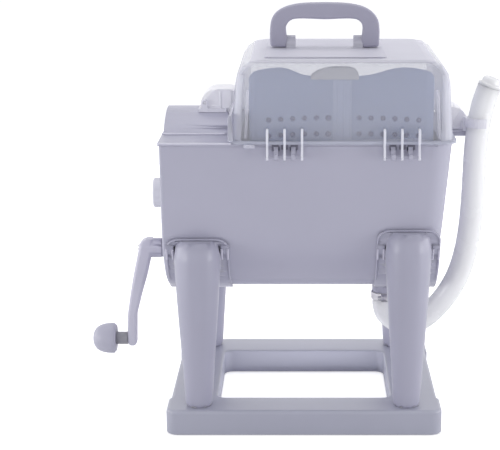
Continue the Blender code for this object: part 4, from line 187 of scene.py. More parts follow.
# Carrying handle: outer outline from the left foot over to the right, inner outline back again, as (x, z)
HANDLE_OUTER = (
    (-0.0429, 0.4766), (-0.0439, 0.4869), (-0.0438, 0.4972), (-0.0427, 0.5075), (-0.0401, 0.5145),
    (-0.0347, 0.5210), (-0.0257, 0.5264), (-0.0141, 0.5298), (0.0013, 0.5318), (0.0269, 0.5325),
    (0.0513, 0.5318), (0.0667, 0.5298), (0.0783, 0.5264), (0.0871, 0.5210), (0.0930, 0.5145),
    (0.0960, 0.5075), (0.0972, 0.4972), (0.0970, 0.4869), (0.0964, 0.4766),
)
HANDLE_INNER = (
    (0.0750, 0.4753), (0.0744, 0.4843), (0.0750, 0.4933), (0.0755, 0.5010), (0.0734, 0.5069),
    (0.0682, 0.5110), (0.0592, 0.5124), (0.0437, 0.5121), (0.0270, 0.5114), (0.0103, 0.5121),
    (-0.0064, 0.5124), (-0.0154, 0.5110), (-0.0206, 0.5069), (-0.0232, 0.5010), (-0.0227, 0.4933),
    (-0.0219, 0.4843), (-0.0217, 0.4753),
)
HANDLE_STEPS = 3
HANDLE_HALF_DEPTH = 0.0090
HANDLE_ROUND = 0.0046
HANDLE_SEGMENTS = 5
HANDLE_SHARP_ANGLE = math.radians(50.0)

# Dark plates of painted shade in the slots between the hinge ribs: start and end of each along X, and their
# height and depth
HINGE_SLOTS = (
    (-0.0394, -0.0309), (-0.0279, -0.0254), (-0.0224, -0.0194), (-0.0164, -0.0073),
    (0.1042, 0.1127), (0.1163, 0.1181), (0.1211, 0.1242), (0.1266, 0.1357),
)
HINGE_SLOT_BOTTOM = 0.3655
HINGE_SLOT_TOP = 0.3713
HINGE_SLOT_FRONT = -0.1357
HINGE_SLOT_BACK = -0.1349
HINGE_SLOT_EDGE = 0.0003
HINGE_SLOT_SEGMENTS = 2

# Crests of the lid's hinge ribs: places along X, thickness, and outline as (y, z)
RIB_CENTRES = (-0.0236, 0.1194)
RIB_PITCH = 0.0212
CREST_HALF_THICKNESS = 0.0015
CREST_OUTLINE = (
    (-0.1370, 0.3740), (-0.1452, 0.3740), (-0.1452, 0.3850),
    (-0.1440, 0.3888), (-0.1414, 0.3912), (-0.1370, 0.3918),
)

# Rounded edges that catch the light; the deck's front edge and the arch's ledge are in a lighter material, a
# painted highlight: name, node, material, radius, start and end
EDGES = (
    ("painted_edge_highlight", "top_frame", "painted_edge_highlight", 0.0011, (-0.1793, -0.1350, 0.3727), (-0.0890, -0.1350, 0.3727)),
    ("arch_ledge", "top_frame", "painted_edge_highlight", 0.0011, (-0.1752, -0.1160, 0.3819), (-0.0978, -0.1160, 0.3819)),
    ("lid_tab", "lid", "lid_side", 0.0022, (-0.0735, -0.1408, 0.3703), (-0.0600, -0.1408, 0.3703)),
    ("lock_rib", "left_lock", "lock", 0.0009, (-0.1073, -0.0262, 0.3965), (-0.1073, -0.0262, 0.4215)),
    ("lock_shoulder", "left_lock", "lock", 0.0005, (-0.1120, -0.0260, 0.4240), (-0.0892, -0.0260, 0.4240)),
    ("lock_step", "left_lock", "lock", 0.0006, (-0.1259, -0.0260, 0.4024), (-0.1105, -0.0260, 0.4024)),
)

# Cheeks that close the sides of the two lid locks
CHEEK_SKIRT = 0.0036
CHEEK_THICKNESS = 0.0016
CHEEK_INSET = 0.0003

# End walls of the two locks: how far they stand out towards the lid, reach back into the lock and keep off
# its sides
LOCK_REACH = 0.0038
LOCK_ROOT = 0.0046
LOCK_INSET = 0.0009

# Lip low on the left lock's front, next to the lid: outline as (x, z), front and depth
LIP_OUTLINE = ((-0.0990, 0.3925), (-0.0903, 0.3925), (-0.0903, 0.4010), (-0.0990, 0.4010))
LIP_FRONT = -0.0262
LIP_DEPTH = 0.0020

# Skirt low on the lid's left side, on both sides of the lock: outline as (x, z), and its near and far ends
SKIRT_OUTLINE = (
    (-0.0866, 0.3757), (-0.0930, 0.3757), (-0.0929, 0.4035), (-0.0918, 0.4066), (-0.0880, 0.4082),
)
SKIRT_NEAR = 0.0290
SKIRT_FAR = 0.1375

# Beads in the lid's front corners: place along X and the way they lean, with height
BEADS = ((-0.0712, 1), (0.1652, -1))
BEAD_Y = -0.1332
BEAD_BOTTOM = 0.3790
BEAD_TOP = 0.4380
BEAD_LEAN = 0.0030
BEAD_RADIUS = 0.0019
BEAD_STEPS = 8

# Band down the middle of the basket's front wall, the basket's materials, and the fine lines on the band
BASKET_FINISHES = ("basket", "basket_band")
BASKET_WALL, BASKET_BAND = range(len(BASKET_FINISHES))
BAND_CENTRE_X = 0.0471
BAND_HALF_WIDTH = 0.0120
BAND_FRONT = -0.0800
BAND_LINES = (0.0402, 0.0487, 0.0572)
BAND_LINE_RADIUS = 0.0008
BAND_LINE_BOTTOM = 0.3770
BAND_LINE_TOP = 0.4480
BAND_LINE_STEPS = 6

# Dark dishes of painted shade set into the basket's round holes; their form is in shares of radius and depth
BASKET_CENTRE_X = 0.0490
HOLE_RADIUS = 0.0037
HOLE_DEPTH = 0.0007
HOLE_FORM = ((1.0, -0.2), (0.82, 0.2), (0.66, 1.0), (0.34, 1.15))
HOLE_PITCH_X = 0.0147
HOLE_INNER_X = 0.0190
HOLE_OUTER_X = 0.0925
HOLE_HEIGHTS = (0.4006, 0.3806)
HOLE_SAG = 0.0030
HOLES_PER_SIDE = 6
HOLE_SIDES = 24

# End fitting of the hose: radius and height along it
FITTING_PROFILE = (
    (0.0000, 0.0000), (0.0146, 0.0000), (0.0150, 0.0004), (0.0150, 0.0034), (0.0146, 0.0040),
    (0.0124, 0.0044), (0.0120, 0.0050), (0.0117, 0.0080), (0.0109, 0.0106), (0.0094, 0.0122),
    (0.0074, 0.0128), (0.0064, 0.0124), (0.0060, 0.0114), (0.0059, 0.0060), (0.0000, 0.0056),
)
FITTING_SIDES = 48
FITTING_GAP = 0.0003
FITTING_LINE_STEPS = 2

# Drain hose, as in the part
HOSE_RADIUS = 0.0150
HOSE_ROUTE = (
    (0.1055, -0.0300, 0.1467), (0.1055, -0.0300, 0.1428), (0.1055, -0.0300, 0.1385),
    (0.1083, -0.0301, 0.1285), (0.1150, -0.0305, 0.1204), (0.1248, -0.0311, 0.1148),
    (0.1370, -0.0320, 0.1131), (0.1503, -0.0332, 0.1163), (0.1645, -0.0346, 0.1262),
    (0.1790, -0.0365, 0.1420), (0.1925, -0.0385, 0.1620), (0.2032, -0.0405, 0.1855),
    (0.2106, -0.0420, 0.2135), (0.2152, -0.0435, 0.2450), (0.2176, -0.0447, 0.2800),
    (0.2187, -0.0458, 0.3170), (0.2200, -0.0466, 0.3530), (0.2232, -0.0470, 0.3850),
    (0.2285, -0.0470, 0.4100), (0.2350, -0.0470, 0.4300),
)
HOSE_STEPS = 4
HOSE_RESOLUTION = 6
TUBE_RESOLUTION = 4


class Nodes:
    """A small helper round a material's or world's node tree."""

    def __init__(self, tree):
        self.tree = tree

    def add(self, kind, **values):
        """A new node; values named in_SOCKET go to its inputs, the others to its own settings."""
        node = self.tree.nodes.new(kind)
        for key, value in values.items():
            if key.startswith("in_"):
                name = key[3:].replace("_", " ")
                node.inputs[name].default_value = value
            else:
                setattr(node, key, value)
        return node

    def link(self, start, end):
        """Joins an output to an input."""
        self.tree.links.new(start, end)

    def noise(self, where, scale, detail, **values):
        """Noise over the piece's own places."""
        node = self.add("ShaderNodeTexNoise", in_Scale=scale, in_Detail=detail, **values)
        self.link(where.outputs["Object"], node.inputs["Vector"])
        return node.outputs["Fac"]

    def spread(self, value, low, high):
        """A value from 0 to 1, spread over a range."""
        node = self.add("ShaderNodeMapRange", in_To_Min=low, in_To_Max=high)
        self.link(value, node.inputs["Value"])
        return node.outputs[0]

    def bump(self, height, strength, depth, under=None):
        """The normal that a height gives, on top of another where there is one."""
        node = self.add("ShaderNodeBump", in_Strength=strength, in_Distance=depth)
        self.link(height, node.inputs["Height"])
        if under:
            self.link(under, node.inputs["Normal"])
        return node.outputs[0]

    def either(self, first, second):
        """The greater of two values."""
        node = self.add("ShaderNodeMath", operation="MAXIMUM")
        self.link(first, node.inputs[0])
        self.link(second, node.inputs[1])
        return node.outputs[0]

    def choice(self, share, first, second):
        """The first shader where the share is 0, the second where it is 1."""
        node = self.add("ShaderNodeMixShader")
        for socket, value in zip(node.inputs, (share, first.outputs[0], second.outputs[0])):
            self.link(value, socket)
        return node


def linked(name, data):
    """A new object in the scene with the given mesh, curve, lamp or camera."""
    made = bpy.data.objects.new(name, data)
    SCENE.collection.objects.link(made)
    return made


def add_camera():
    """The photograph's camera: straight in front of the stand's middle, looking a little down."""
    data = bpy.data.cameras.new("camera")
    data.lens = CAMERA_LENS
    data.sensor_width = CAMERA_SENSOR
    data.sensor_fit = "HORIZONTAL"
    data.shift_x = CAMERA_SHIFT_X
    data.clip_end = CAMERA_REACH
    camera = linked("camera", data)
    camera.location = (SHIFT_X, -CAMERA_DISTANCE, CAMERA_HEIGHT)
    camera.rotation_euler = (math.pi / 2 - CAMERA_PITCH, 0.0, 0.0)
    SCENE.camera = camera


def add_lamps():
    """Soft square lamps, each facing its target."""
    for name, place, target, size, power, glossy in LAMPS:
        data = bpy.data.lights.new(name, "AREA")
        data.shape = "RECTANGLE"
        data.size, data.size_y = size
        data.energy = power
        lamp = linked(name, data)
        start = Vector((place[0] + SHIFT_X, *place[1:]))
        end = Vector((target[0] + SHIFT_X, *target[1:]))
        lamp.location = start
        lamp.rotation_euler = (end - start).to_track_quat("-Z", "Y").to_euler()
        lamp.visible_camera = False
        lamp.visible_glossy = glossy


def set_up_world():
    """A white background for what looks straight at it, and a plain grey light for the rest."""
    world = bpy.data.worlds.new("studio")
    SCENE.world = world
    world.use_nodes = True
    world.node_tree.nodes.clear()
    n = Nodes(world.node_tree)
    path = n.add("ShaderNodeLightPath").outputs
    direct = n.either(path["Is Camera Ray"], path["Is Transmission Ray"])
    seen = n.either(direct, path["Is Glossy Ray"])
    light = n.add("ShaderNodeBackground", in_Color=WORLD_COLOUR, in_Strength=WORLD_LIGHT)
    white = n.add("ShaderNodeBackground", in_Color=WHITE, in_Strength=1.0)
    out = n.add("ShaderNodeOutputWorld")
    n.link(n.choice(seen, light, white).outputs[0], out.inputs["Surface"])


def add_floor():
    """A pale floor that looks white where no shadow falls."""
    bpy.ops.mesh.primitive_plane_add(size=FLOOR_SIZE, location=(SHIFT_X, 0.0, -FLOOR_DROP))
    floor = bpy.context.object
    floor.name = "floor"
    material = bpy.data.materials.new("floor")
    material.use_nodes = True
    material.node_tree.nodes.clear()
    n = Nodes(material.node_tree)
    noise = n.add("ShaderNodeTexNoise", in_Scale=FLOOR_NOISE_SCALE, in_Detail=FLOOR_NOISE_DETAIL)
    shade = n.spread(noise.outputs["Fac"], *FLOOR_SHADES)
    colour = n.add("ShaderNodeCombineColor")
    for channel in ("Red", "Green", "Blue"):
        n.link(shade, colour.inputs[channel])
    diffuse = n.add("ShaderNodeBsdfDiffuse")
    n.link(colour.outputs[0], diffuse.inputs["Color"])
    glow = n.add("ShaderNodeEmission", in_Color=WHITE, in_Strength=FLOOR_GLOW)
    dark = n.add("ShaderNodeEmission", in_Color=BLACK, in_Strength=0.0)
    path = n.add("ShaderNodeLightPath").outputs
    seen = n.either(path["Is Camera Ray"], path["Is Transmission Ray"])
    total = n.add("ShaderNodeAddShader")
    n.link(diffuse.outputs[0], total.inputs[0])
    n.link(n.choice(seen, dark, glow).outputs[0], total.inputs[1])
    out = n.add("ShaderNodeOutputMaterial")
    n.link(total.outputs[0], out.inputs["Surface"])
    floor.data.materials.append(material)


def srgb(red, green, blue):
    """A colour given in levels from 0 to 255, as the shader's linear colour."""
    made = []
    for value in (red, green, blue):
        share = value / 255
        made.append(share / 12.92 if share <= 0.04045 else ((share + 0.055) / 1.055) ** 2.4)
    return (*made, 1.0)


def new_material(name):
    """A new material, a helper round its nodes, its shader's inputs and its coordinates."""
    material = bpy.data.materials.new(name)
    material.use_nodes = True
    n = Nodes(material.node_tree)
    return material, n, material.node_tree.nodes["Principled BSDF"].inputs, n.add("ShaderNodeTexCoord")


def drifting(n, where, colour, change, scale):
    """A colour that drifts a little lighter and darker over the surface."""
    mix = n.add("ShaderNodeMix", data_type="RGBA")
    mix.inputs[MIX_FIRST].default_value = tuple(c * (1 - change) for c in colour[:3]) + (1.0,)
    mix.inputs[MIX_SECOND].default_value = tuple(min(1.0, c * (1 + change)) for c in colour[:3]) + (1.0,)
    n.link(n.noise(where, scale, DRIFT_DETAIL, in_Roughness=DRIFT_ROUGHNESS), mix.inputs[MIX_SHARE])
    return mix.outputs[MIX_RESULT]


def moulded(name, colour, rough, change=0.035, grain=0.05, coat=0.0, specular=0.5, subsurface=0.0, sheen=0.0):
    """Moulded plastic: slight drift of shade, uneven gloss and a fine moulded grain."""
    material, n, shader, where = new_material(name)
    n.link(drifting(n, where, colour, change, DRIFT_SCALE), shader["Base Color"])
    gloss = n.spread(n.noise(where, CLOUD_SCALE, CLOUD_DETAIL), rough - GLOSS_BELOW, rough + GLOSS_ABOVE)
    n.link(gloss, shader["Roughness"])
    swell = n.bump(n.noise(where, WAVE_SCALE, WAVE_DETAIL), WAVE_STRENGTH, WAVE_DEPTH)
    n.link(n.bump(n.noise(where, GRAIN_SCALE, GRAIN_DETAIL), grain, GRAIN_DEPTH, swell), shader["Normal"])
    shader["Specular IOR Level"].default_value = specular
    shader["Coat Weight"].default_value = coat
    shader["Coat Roughness"].default_value = COAT_ROUGHNESS
    shader["Sheen Weight"].default_value = sheen
    shader["Sheen Roughness"].default_value = SHEEN_ROUGHNESS
    if subsurface > 0.0:
        shader["Subsurface Weight"].default_value = subsurface
        shader["Subsurface Scale"].default_value = MILK_DEPTH
        shader["Subsurface Radius"].default_value = MILK_SPREAD
    return material


def metal(name, colour, rough=0.28):
    """Bright steel with fine turning marks."""
    material, n, shader, where = new_material(name)
    n.link(drifting(n, where, colour, STEEL_CHANGE, STEEL_DRIFT_SCALE), shader["Base Color"])
    shader["Metallic"].default_value = 1.0
    lines = n.add("ShaderNodeTexWave", in_Scale=TURNING_SCALE, in_Distortion=TURNING_DISTORTION,
                  in_Detail=TURNING_DETAIL)
    n.link(where.outputs["Object"], lines.inputs["Vector"])
    marks = lines.outputs["Fac"]
    n.link(n.spread(marks, rough - TURNING_BELOW, rough + TURNING_ABOVE), shader["Roughness"])
    n.link(n.bump(marks, TURNING_STRENGTH, TURNING_DEPTH), shader["Normal"])
    return material


def milky(name, colour, alpha, edge, rough=0.2, coat=0.15, specular=0.5):
    """Cloudy see-through plastic, denser where it is seen edge-on."""
    material = moulded(name, colour, rough, MILKY_CHANGE, MILKY_GRAIN, coat, specular)
    n = Nodes(material.node_tree)
    haze = n.noise(n.add("ShaderNodeTexCoord"), HAZE_SCALE, HAZE_DETAIL)
    rim = n.add("ShaderNodeLayerWeight", in_Blend=EDGE_BLEND)
    steep = n.add("ShaderNodeMath", operation="MULTIPLY")
    steep.inputs[1].default_value = edge
    n.link(rim.outputs["Facing"], steep.inputs[0])
    total = n.add("ShaderNodeMath", operation="ADD", use_clamp=True)
    n.link(n.spread(haze, alpha - HAZE_CHANGE, alpha + HAZE_CHANGE), total.inputs[0])
    n.link(steep.outputs[0], total.inputs[1])
    n.link(total.outputs[0], material.node_tree.nodes["Principled BSDF"].inputs["Alpha"])
    return material


# Every finish of the machine: its colour, its roughness and what else sets it apart
MATERIALS = {
    "housing": moulded("housing", srgb(184, 183, 200), 0.38, coat=0.18),
    # A lighter copy of the housing's colour: a painted highlight along the deck's front edge and the arch's
    # ledge
    "painted_edge_highlight": moulded("painted_edge_highlight", srgb(222, 221, 234), 0.34, coat=0.2),
    # Dark colour: painted shade in the slots between the hinge ribs and beside the leg clips
    "slot": moulded("slot", srgb(116, 114, 130), 0.5),
    "collar": moulded("collar", srgb(158, 157, 164), 0.4),
    "boss": moulded("boss", srgb(226, 226, 234), 0.34, coat=0.2),
    "stand": moulded("stand", srgb(174, 175, 190), 0.38, coat=0.6),
    "legs": moulded("legs", srgb(173, 172, 190), 0.40, coat=0.35, sheen=0.5),
    "pads": moulded("pads", srgb(46, 46, 48), 0.75, grain=0.2),
    "milky_lid": milky("milky_lid", srgb(236, 236, 246), 0.24, 0.55),
    "lid_top": milky("lid_top", srgb(226, 225, 235), 0.70, 0.30, rough=0.55, coat=0.0, specular=0.25),
    "socket": milky("socket", srgb(228, 227, 238), 0.62, 0.25, rough=0.5, coat=0.0, specular=0.25),
    "lid_side": milky("lid_side", srgb(236, 236, 247), 0.40, 0.45),
    "lid_edge": milky("lid_edge", srgb(206, 208, 224), 0.72, 0.25),
    "lid_ribs": moulded("lid_ribs", srgb(238, 238, 248), 0.30, change=0.015),
    "lid_trim": moulded("lid_trim", srgb(238, 237, 245), 0.35),
    "handle": moulded("handle", srgb(170, 168, 186), 0.45, grain=0.12),
    "crank": moulded("crank", srgb(204, 202, 217), 0.36, coat=0.15),
    "knob": moulded("knob", srgb(184, 183, 198), 0.40),
    "basket": moulded("basket", srgb(150, 166, 200), 0.42),
    "basket_band": moulded("basket_band", srgb(172, 185, 214), 0.36),
    # Dark blue: painted shade, standing for the shade seen in the basket's holes
    "hole": moulded("hole", srgb(14, 36, 112), 0.9, specular=0.0),
    "bead": milky("bead", srgb(240, 240, 250), 0.30, 0.35),
    "lock": moulded("lock", srgb(248, 247, 254), 0.34, coat=0.1),
    "grip": moulded("grip", srgb(206, 206, 206), 0.50),
    "white_plastic": moulded("white_plastic", srgb(226, 227, 233), 0.42),
    "hose": moulded("hose", srgb(250, 250, 253), 0.26, change=0.01, grain=0.03, coat=0.35, subsurface=0.8),
    "steel": metal("steel", srgb(196, 196, 200)),
    "clamp": metal("clamp", srgb(226, 224, 228), 0.40),
}


def dress_nodes():
    """Gives every CAD node its better material, by the record's slots."""
    for name, slot in SLOT_OF.items():
        node = NODES[name]
        material = MATERIALS[OWN_FINISH.get(name, slot)]
        if not node.material_slots:
            node.data.materials.append(material)
        for place in node.material_slots:
            place.material = material


def form_piece(name, form, material):
    """A new piece from a finished form, in one material."""
    mesh = bpy.data.meshes.new(name)
    form.to_mesh(mesh)
    form.free()
    mesh.materials.append(MATERIALS[material])
    return linked(name, mesh)


def stand_in(piece, node):
    """Lets a finer piece stand for its node: it rides with the same body, and the node is hidden."""
    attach(piece, BODY_OF[node])
    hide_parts(node)


def go_with(piece, node):
    """Lets an added piece ride with a node's body."""
    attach(piece, BODY_OF[node])


def push(form, outline, depth):
    """Adds a flat face with the given outline to a form and pushes it to a depth."""
    face = form.faces.new([form.verts.new(place) for place in outline])
    deep = bmesh.ops.extrude_face_region(form, geom=[face])["geom"]
    moved = [item for item in deep if isinstance(item, bmesh.types.BMVert)]
    bmesh.ops.translate(form, verts=moved, vec=depth)
    bmesh.ops.recalc_face_normals(form, faces=form.faces)


def soften(piece, width, segments):
    """Rounds a piece's sharp edges."""
    soft = piece.modifiers.new("soft_edges", "BEVEL")
    soft.width = width
    soft.segments = segments
    soft.limit_method = "ANGLE"
    return soft


def even_shading(piece):
    """Shades a piece by its larger faces, so that flats look flat and rounds look round."""
    even = piece.modifiers.new("even_shading", "WEIGHTED_NORMAL")
    even.keep_sharp = True


def add_plate(name, outline, depth, material, node):
    """A flat piece: an outline in places of the frame, pushed to a depth, with soft edges."""
    form = bmesh.new()
    push(form, outline, depth)
    plate = form_piece(name, form, material)
    soften(plate, SOFT_EDGE, SOFT_SEGMENTS)
    go_with(plate, node)


def tube_piece(name, places, radius, resolution, material):
    """A round rod with closed ends, through places of the frame."""
    curve = bpy.data.curves.new(name, "CURVE")
    curve.dimensions = "3D"
    curve.bevel_depth = radius
    curve.bevel_resolution = resolution
    curve.use_fill_caps = True
    spline = curve.splines.new("POLY")
    spline.points.add(len(places) - 1)
    for spot, place in zip(spline.points, places):
        spot.co = (*place, 1.0)
    spline.use_smooth = True
    curve.materials.append(MATERIALS[material])
    return linked(name, curve)


def add_tube(name, points, radius, material, node):
    """A slim rounded lip or bead along the given points."""
    places = [(x + SHIFT_X, y, z) for x, y, z in points]
    go_with(tube_piece(name, places, radius, TUBE_RESOLUTION, material), node)


def skin(node, finishes=None, paint=None):
    """A node's own form with evenly rounded shading, and more than one material where it is painted so."""
    form = bmesh.new()
    form.from_mesh(NODES[node].data)
    bmesh.ops.remove_doubles(form, verts=form.verts, dist=WELD_DISTANCE)
    for face in form.faces:
        face.smooth = True
        face.material_index = 0
        if paint:
            face.material_index = paint(face.calc_center_median() - Vector((SHIFT_X, 0.0, 0.0)))
    mesh = bpy.data.meshes.new(node + "_skin")
    form.to_mesh(mesh)
    form.free()
    for finish in finishes or (OWN_FINISH.get(node, SLOT_OF[node]),):
        mesh.materials.append(MATERIALS[finish])
    mesh.set_sharp_from_angle(angle=SHARP_ANGLE)
    piece = linked(node + "_skin", mesh)
    even_shading(piece)
    stand_in(piece, node)


def paint_lid(place):
    """Which of the lid's materials a face has, by its place."""
    if place.y < LID_RIB_FRONT or place.z < LID_RIM_BOTTOM:
        return LID_RIBS
    if place.z < LID_RIM_TOP:
        return LID_EDGE
    if place.z > LID_TOP_FROM:
        return LID_TOP
    if abs(place.x - LID_CENTRE_X) > LID_SIDE_FROM:
        return LID_SIDE
    return LID_WALL


def paint_basket(place):
    """Which of the basket's materials a face has: a lighter band runs down the middle of its front wall."""
    on_band = abs(place.x - BAND_CENTRE_X) < BAND_HALF_WIDTH and place.y < BAND_FRONT
    return BASKET_BAND if on_band else BASKET_WALL


def add_skins():
    """The rounded and moulded nodes, shaded as the smooth mouldings they are."""
    for node in SMOOTH_NODES:
        skin(node)
    skin("basket", BASKET_FINISHES, paint_basket)
    skin("lid", LID_FINISHES, paint_lid)


def smooth_route(points, steps):
    """Points along a smooth (Catmull-Rom) curve through the given points."""
    path = [Vector(point) for point in points]
    extended = [2 * path[0] - path[1]] + path + [2 * path[-1] - path[-2]]
    made = []
    for i in range(1, len(extended) - 2):
        before, start, end, after = extended[i - 1:i + 3]
        for step in range(steps):
            t = step / steps
            made.append(0.5 * ((2 * start) + (end - before) * t
                               + (2 * before - 5 * start + 4 * end - after) * t ** 2
                               + (3 * start - before - 3 * end + after) * t ** 3))
    return made + [path[-1]]


def add_hose():
    """The drain hose as one smooth tube, with its end fitting."""
    points = [point + Vector((SHIFT_X, 0.0, 0.0)) for point in smooth_route(HOSE_ROUTE, HOSE_STEPS)]
    hose = tube_piece("hose", points, HOSE_RADIUS, HOSE_RESOLUTION, "hose")
    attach(hose, "machine")
    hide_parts("drain_hose")
    add_hose_end()


def add_hose_end():
    """The hose's end fitting: a collar and a nozzle with a rounded lip, turned about the hose's line."""
    last, before = Vector(HOSE_ROUTE[-1]), smooth_route(HOSE_ROUTE, FITTING_LINE_STEPS)[-2]
    along = (last - before).normalized()
    turn = along.to_track_quat("Z", "Y").to_matrix().to_4x4()
    place = Matrix.Translation(last + along * FITTING_GAP + Vector((SHIFT_X, 0.0, 0.0))) @ turn
    form = bmesh.new()
    line = [form.verts.new((radius, 0.0, height)) for radius, height in FITTING_PROFILE]
    edges = [form.edges.new(pair) for pair in zip(line, line[1:])]
    bmesh.ops.spin(form, geom=line + edges, cent=(0, 0, 0), axis=(0, 0, 1), angle=math.tau,
                   steps=FITTING_SIDES, use_merge=True, use_duplicate=False)
    bmesh.ops.remove_doubles(form, verts=form.verts, dist=WELD_DISTANCE)
    bmesh.ops.recalc_face_normals(form, faces=form.faces)
    bmesh.ops.transform(form, matrix=place, verts=form.verts)
    for face in form.faces:
        face.smooth = True
    piece = form_piece("hose_fitting", form, "hose")
    stand_in(piece, "hose_end")
    return piece


def rounded_corner(centre, radius, start, end, steps):
    """Points round a corner, from one angle to another in degrees."""
    made = []
    for step in range(steps + 1):
        angle = math.radians(start + (end - start) * step / steps)
        made.append((centre[0] + radius * math.cos(angle), centre[1] + radius * math.sin(angle)))
    return made


def on_trough(x, side, height, distance):
    """A place on the trough's round outer side at a height."""
    return x, side * math.sqrt(distance ** 2 - (height - TROUGH_AXIS) ** 2), height


def add_saddle_lips():
    """The rounded lip along each saddle's outline, lying on the trough."""
    half = SADDLE_HALF_WIDTH - LIP_RADIUS
    for hand, x, top in SADDLES:
        high = top - LIP_RADIUS
        low = TROUGH_AXIS - SADDLE_DEPTH
        corner = high - SADDLE_CORNER
        rise = (corner - low) / SADDLE_SIDE_STEPS
        outline = [(-half, low + rise * step) for step in range(SADDLE_SIDE_STEPS)]
        outline += rounded_corner((SADDLE_CORNER - half, corner), SADDLE_CORNER, 180, 90, SADDLE_CORNER_STEPS)
        outline += [(-u, z) for u, z in reversed(outline)]
        for side, word in ((-1, "front"), (1, "rear")):
            points = [on_trough(x + u, side, z, SADDLE_RADIUS) for u, z in outline]
            leg = "leg_%s_%s" % (word, hand)
            add_tube("saddle_lip_%s_%s" % (word, hand), points, LIP_RADIUS, "legs", leg)


def add_clips():
    """The raised sides of the leg clips in a lighter material as a painted highlight, and a dark rod beside
    each as painted shade in its slot.
    """
    heights = [CLIP_BOTTOM + (CLIP_TOP - CLIP_BOTTOM) * step / CLIP_STEPS for step in range(CLIP_STEPS + 1)]
    for hand, x, _ in SADDLES:
        for side, word in ((-1, "front"), (1, "rear")):
            leg = "leg_%s_%s" % (word, hand)
            for number, turn in enumerate((-1, 1)):
                middle = x + turn * CLIP_OFFSET
                for edge in (-1, 1):
                    points = [on_trough(middle + edge * CLIP_SIDE, side, z, CLIP_RADIUS) for z in heights]
                    name = "clip_side_%s_%d_%d" % (leg, number, edge + 1)
                    # The clip's raised side in the lighter crank material: a painted highlight
                    add_tube(name, points, CLIP_SIDE_RADIUS, "crank", leg)
                # A dark rod in the slot beside the clip: painted shade
                points = [on_trough(x + turn * SLOT_OFFSET, side, z, SADDLE_RADIUS) for z in heights]
                add_tube("clip_slot_shade_%s_%d" % (leg, number), points, SLOT_RADIUS, "slot", leg)


def add_lock_cheeks(node):
    """Flat cheeks that close both sides of a lid lock."""
    places = [vertex.co for vertex in NODES[node].data.vertices]
    for side, word in ((-1, "front"), (1, "rear")):
        edge = max(side * place.y for place in places)
        rim = [place for place in places if side * place.y > edge - CHEEK_THICKNESS / 2]
        flat = [Vector((place.x, place.z)) for place in rim]
        low = min(spot.y for spot in flat)
        flat += [spot - Vector((0.0, CHEEK_SKIRT)) for spot in flat if spot.y < low + CHEEK_THICKNESS]
        outer = side * (edge - CHEEK_INSET)
        outline = [(flat[i].x, outer, flat[i].y) for i in geometry.convex_hull_2d(flat)]
        add_plate("%s_cheek_%s" % (node, word), outline, (0.0, -side * CHEEK_THICKNESS, 0.0), "lock", node)


def add_lock_end(node, inner):
    """The wall that closes a lid lock towards the lid; inner is 1 where the lid is on its right."""
    places = [vertex.co for vertex in NODES[node].data.vertices]
    end = max(inner * place.x for place in places) * inner
    low = min(place.z for place in places) - CHEEK_SKIRT
    high = max(place.z for place in places if abs(place.x - end) < CHEEK_THICKNESS / 2) - CHEEK_INSET
    half = max(place.y for place in places) - LOCK_INSET
    x = end + inner * LOCK_REACH
    add_plate(node + "_end", [(x, -half, low), (x, half, low), (x, half, high), (x, -half, high)],
              (-inner * (LOCK_REACH + LOCK_ROOT), 0.0, 0.0), "lock", node)


def add_lock_lip():
    """The small lip low on the left lock's front, next to the lid."""
    outline = [(x + SHIFT_X, LIP_FRONT, z) for x, z in LIP_OUTLINE]
    add_plate("left_lock_lip", outline, (0.0, LIP_DEPTH, 0.0), "lock", "left_lock")


def add_lid_skirt():
    """The skirt low on the lid's left side, in front of the lock and behind it."""
    for side, word in ((-1, "front"), (1, "rear")):
        outline = [(x + SHIFT_X, side * SKIRT_FAR, z) for x, z in SKIRT_OUTLINE]
        depth = (0.0, -side * (SKIRT_FAR - SKIRT_NEAR), 0.0)
        add_plate("lid_skirt_" + word, outline, depth, "lid_side", "lid")


def front_wall(tree, x, z):
    """How far forward the basket's front wall is, at a place along X and Z."""
    return tree.ray_cast(Vector((x + SHIFT_X, -1.0, z)), Vector((0.0, 1.0, 0.0)))[0].y


def add_painted_hole_shade(form, x, y, z):
    """Adds a dark dish of painted shade in one round hole to a form."""
    rings = []
    for share, depth in HOLE_FORM:
        radius = HOLE_RADIUS * share
        ring = []
        for i in range(HOLE_SIDES):
            angle = math.tau * i / HOLE_SIDES
            across, up = radius * math.cos(angle), radius * math.sin(angle)
            ring.append(form.verts.new((x + SHIFT_X + across, y + HOLE_DEPTH * depth, z + up)))
        rings.append(ring)
    for outer, inner in zip(rings, rings[1:]):
        for i in range(HOLE_SIDES):
            j = (i + 1) % HOLE_SIDES
            form.faces.new((outer[i], outer[j], inner[j], inner[i])).smooth = True
    form.faces.new(rings[-1])


